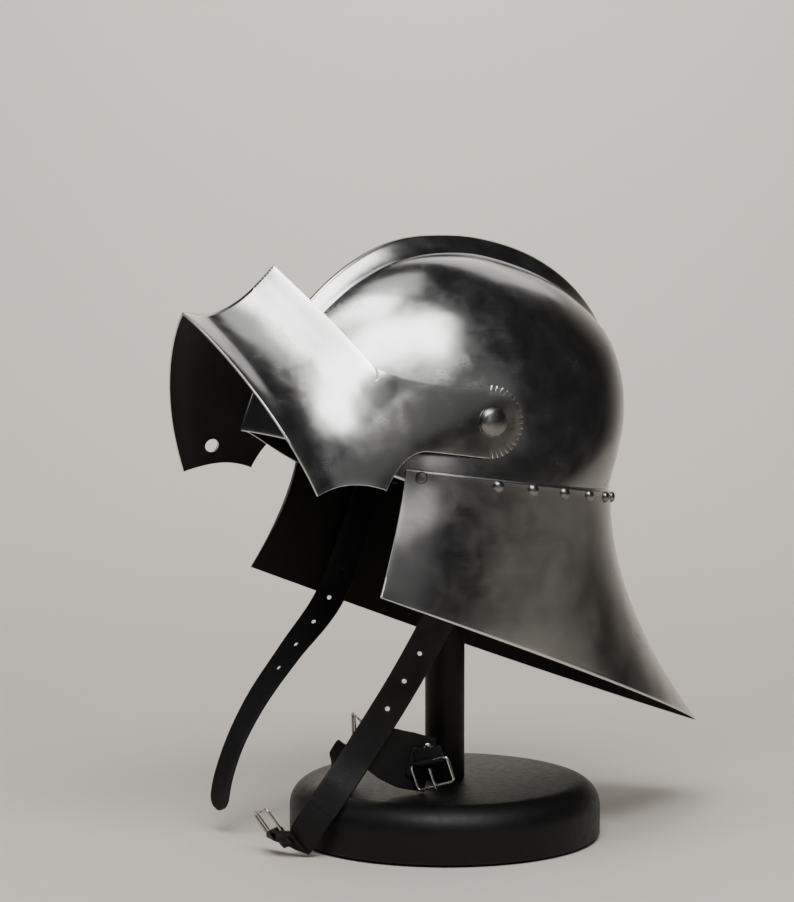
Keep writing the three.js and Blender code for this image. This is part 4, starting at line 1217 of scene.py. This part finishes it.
def tube(path, radius, closed, segments=12):
    # points and faces of a round wire along a path
    path = np.array(path, float)
    tangent = np.roll(path, -1, 0) - np.roll(path, 1, 0) if closed else np.gradient(path, axis=0)
    tangent = unit(tangent)
    sideways = unit(np.cross(tangent, np.array([0, 0, 1.0])))
    over = unit(np.cross(sideways, tangent))
    turn = np.linspace(0, 2 * np.pi, segments, endpoint=False)[None, :, None]
    away = np.cos(turn) * sideways[:, None] + np.sin(turn) * over[:, None]
    rings = path[:, None] + np.broadcast_to(radius, len(path))[:, None, None] * away
    return rings.reshape(-1, 3), sweepFaces(len(path), segments, closed)


def roundedPath(width, height, corner, steps=6):
    points = []
    for cx, cy, start in ((1, -1, -90), (1, 1, 0), (-1, 1, 90), (-1, -1, 180)):
        for k in range(steps + 1):
            turn = math.radians(start + 90 * k / steps)
            points.append((cx * (width / 2 - corner) + corner * math.cos(turn),
                           cy * (height / 2 - corner) + corner * math.sin(turn), 0))
    return points


def strip(line, sides, width, wall):
    # a leather strip with rounded edges along a path; sides holds the way across it at each point
    section = []
    for cx, start in ((1, -90), (-1, 90)):
        for k in range(7):
            turn = math.radians(start + 180 * k / 6)
            section.append((cx * (width - wall) / 2 + wall / 2 * math.cos(turn), wall / 2 * math.sin(turn)))
    points = []
    for i, (spot, side) in enumerate(zip(line, sides)):
        ahead = (line[min(i + 1, len(line) - 1)] - line[max(i - 1, 0)]).normalized()
        up = side.cross(ahead).normalized()
        level = ahead.cross(up).normalized()
        narrower, thinner = (0.97, 0.55) if i in (0, len(line) - 1) else (1.0, 1.0)  # pared ends
        points += [spot + level * x * narrower + up * z * thinner for x, z in section]
    return points, sweepFaces(len(line), len(section), False)


def strapEndOf(route, atStart, lift, reach):
    # the way across a strap's end, and points from its end back along its face
    ends = np.linspace(0, reach, 5)
    along = ends if atStart else route.length - ends
    spots = route.skin(np.stack([along, 0 * along], -1), np.full(len(along), lift))
    side = unit(route.at(np.array([along[0]]), route.across))[0]
    return Vector(side), [Vector(p) for p in spots]


def makeBuckle(letter, spot, run, face, strapEnd):
    along = Vector(run).normalized()
    across = along.cross(Vector(face)).normalized()
    out = across.cross(along)
    place = Matrix.Translation(Vector(spot)) @ Matrix((across, along, out)).transposed().to_4x4()
    wire, wall, gap = (buckle[key] for key in ("wire", "loopWall", "gap"))
    bar = -(buckle["short"] - wire) / 2
    path = roundedPath(buckle["long"] - wire, buckle["short"] - wire, buckle["corner"] - wire / 2)
    ringPoints, ringFaces = tube(path, wire / 2 * 0.98, True)
    reach = np.linspace(bar + wire + wall + gap, buckle["short"] / 2 + 1, len(buckle["prongTaper"]))
    taper = wire * 0.45 * np.array(buckle["prongTaper"])
    prongPoints, prongFaces = tube([(0, y, wire + gap) for y in reach], taper, False)
    # the leather lies along the strap, runs to the bar, turns round it and comes back under itself
    wrap = wire / 2 + gap + wall / 2
    turns = np.linspace(buckle["wrapTurn"], -buckle["wrapTurn"], 13)
    fold = [(0, bar + wrap * math.cos(turn), wrap * math.sin(turn)) for turn in turns]
    fold += [(0, bar - share * buckle["under"][letter], -wrap * 0.98) for share in (0.25, 0.45, 0.62)]
    fold = [place @ Vector(p) for p in fold]
    acrossStrap, ontoStrap = strapEnd
    mixed = [0.25, 0.5, 0.75]
    line = ontoStrap[::-1] + [ontoStrap[0].lerp(fold[0], share) for share in mixed] + fold
    turnedBy = [0.0] * len(ontoStrap) + mixed + [1.0] * len(fold)
    sides = [acrossStrap.lerp(across, share).normalized() for share in turnedBy]
    loopPoints, loopFaces = strip(line, sides, buckle["long"] - 2 * wire - buckle["play"], wall)
    parts = {
        "frame": ([place @ Vector(p) for p in ringPoints], ringFaces, wireNickel, "buckle_wire"),
        "prong": ([place @ Vector(p) for p in prongPoints], prongFaces, wireNickel, "buckle_wire"),
        "loop": (loopPoints, loopFaces, strapLeather, "black_leather"),
    }
    for word, (points, faces, material, slotName) in parts.items():
        shape = [p * mm for p in points], faces
        piece = meshPiece(f"buckle_{letter}_{word}Shape", shape, material, sharp=60)
        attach(piece, rootBody)
        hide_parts(f"buckle_{letter}_{word}")


onLeather = (strapWork["wall"] + buckle["loopWall"]) / 2
strapEnds = {"front": (nearRoute, False), "side": (padRoute, False), "rear": (rearRoute, True)}
for letter, (spot, run, face) in buckles.items():
    strapEnd = strapEndOf(*strapEnds[letter], onLeather, buckle["overlap"][letter])
    makeBuckle(letter, spot, run, face, strapEnd)
print("buckles made")


# A small snap rivet holds the buckle's leather to the pad
snap = {"radius": 3.4, "rise": 1.6, "sunk": 0.3, "alongShare": 0.9, "side": -12.0, "rounds": 32}


def makeSnap():
    along = padRoute.length * snap["alongShare"]
    lifts = (strapWork["wall"] / 2, 5.0)
    spot, lifted = (padRoute.skin(np.array([[along, snap["side"]]]), [lift])[0] for lift in lifts)
    way = Vector(lifted - spot).normalized()
    place = standing(Vector(spot) * mm, way)
    profile = [(0, -snap["sunk"])]
    for turn in np.linspace(0, math.pi / 2, 9)[:-1]:
        profile.append((snap["radius"] * math.cos(turn), snap["rise"] * math.sin(turn)))
    profile.append((0, snap["rise"]))
    piece = meshPiece("padSnap", lathe(profile, snap["rounds"], place), wireNickel, sharp=50)
    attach(piece, rootBody)


makeSnap()


# Studio: pale paper, soft boxes over the front and the top, dim fills at the side and a wash on the paper
studio = {
    "paper": "#cdc7bd",
    "fibre": "#d2ccc3",
    "fibreSize": 3,  # mm
    "paperRough": 0.85,
    "room": "#2f2f31",
    "near": 9.0,  # metres of paper on the camera's side
    "far": 1.5,  # metres behind the part, where the paper starts to curve up
    "curve": 1.3,
    "tall": 4.5,
    "wide": 9.0,
    "lamps": [
        # name, place, aims at, width, height, watts
        ("overBox", (1.1, -0.47, 1.78), (0.05, -0.05, 0.35), 1.4, 0.68, 38),
        ("visorBox", (0.25, -0.66, 2.13), (0, -0.1, 0.35), 0.8, 0.5, 14),
        ("keyBox", (-0.9, -1.9, 1.7), (0, -0.05, 0.3), 1.1, 0.9, 4),
        ("skyPanel", (-0.05, -0.15, 2.2), (0, -0.05, 0.35), 0.95, 0.8, 3.2),
        ("topPanel", (-0.95, 0.85, 1.6), (0, 0, 0.35), 1.6, 0.8, 4.8),
        ("sideFill", (2.1, 0.24, 1.1), (0.05, -0.05, 0.3), 2.0, 1.0, 1.1),
        ("lowStrip", (1.98, -0.15, 0.8), (0.05, -0.05, 0.25), 0.5, 0.6, 1.0),
        ("paperWash", (-1.2, 0.7, 2.2), (-2.8, 1.6, 1.3), 1.6, 0.5, 60),
    ],
}


def makeStudio():
    material, tree, shader = newMaterial("matt studio paper")
    place = add(tree, "ShaderNodeTexCoord").outputs["Object"]
    fibres = addNoise(tree, place, studio["fibreSize"], 4.0)
    feed(tree, shader, {
        "Base Color": addTone(tree, fibres, studio["paper"], studio["fibre"]),
        "Roughness": studio["paperRough"],
    })
    # the paper lies flat and curves up far behind the part, square to the camera
    turn = math.radians(photoView["turn"])
    away = Vector((-math.sin(turn), math.cos(turn), 0))
    right = Vector((math.cos(turn), math.sin(turn), 0))
    far, curve = studio["far"], studio["curve"]
    profile = [(-studio["near"], 0.0), (0.0, 0.0)]
    for bend in np.linspace(0, math.pi / 2, 17):
        profile.append((far + curve * math.sin(bend), curve * (1 - math.cos(bend))))
    profile.append((far + curve, studio["tall"]))
    points = []
    for distance, height in profile:
        for side in (-1, 1):
            points.append(away * distance + right * side * studio["wide"] + Vector((0, 0, height)))
    faces = [(2 * i, 2 * i + 1, 2 * i + 3, 2 * i + 2) for i in range(len(profile) - 1)]
    mesh = bpy.data.meshes.new("studioPaper")
    mesh.from_pydata(points, [], faces)
    mesh.polygons.foreach_set("use_smooth", [True] * len(faces))
    makeObject("studioPaper", mesh, [material])
    for name, spot, aim, width, height, watts in studio["lamps"]:
        light = bpy.data.lights.new(name, "AREA")
        light.shape = "RECTANGLE"
        light.size = width
        light.size_y = height
        light.energy = watts
        holder = bpy.data.objects.new(name, light)
        bpy.context.scene.collection.objects.link(holder)
        holder.location = spot
        holder.rotation_euler = (Vector(aim) - Vector(spot)).to_track_quat("-Z", "Y").to_euler()
    world = bpy.data.worlds.new("studioRoom")
    bpy.context.scene.world = world
    world.use_nodes = True
    tree = world.node_tree
    tree.nodes.clear()
    room = add(tree, "ShaderNodeBackground", {"Color": hexColour(studio["room"]), "Strength": 1.0})
    add(tree, "ShaderNodeOutputWorld", {"Surface": room.outputs[0]})


makeStudio()
print("studio made")

bpy.context.view_layer.update()
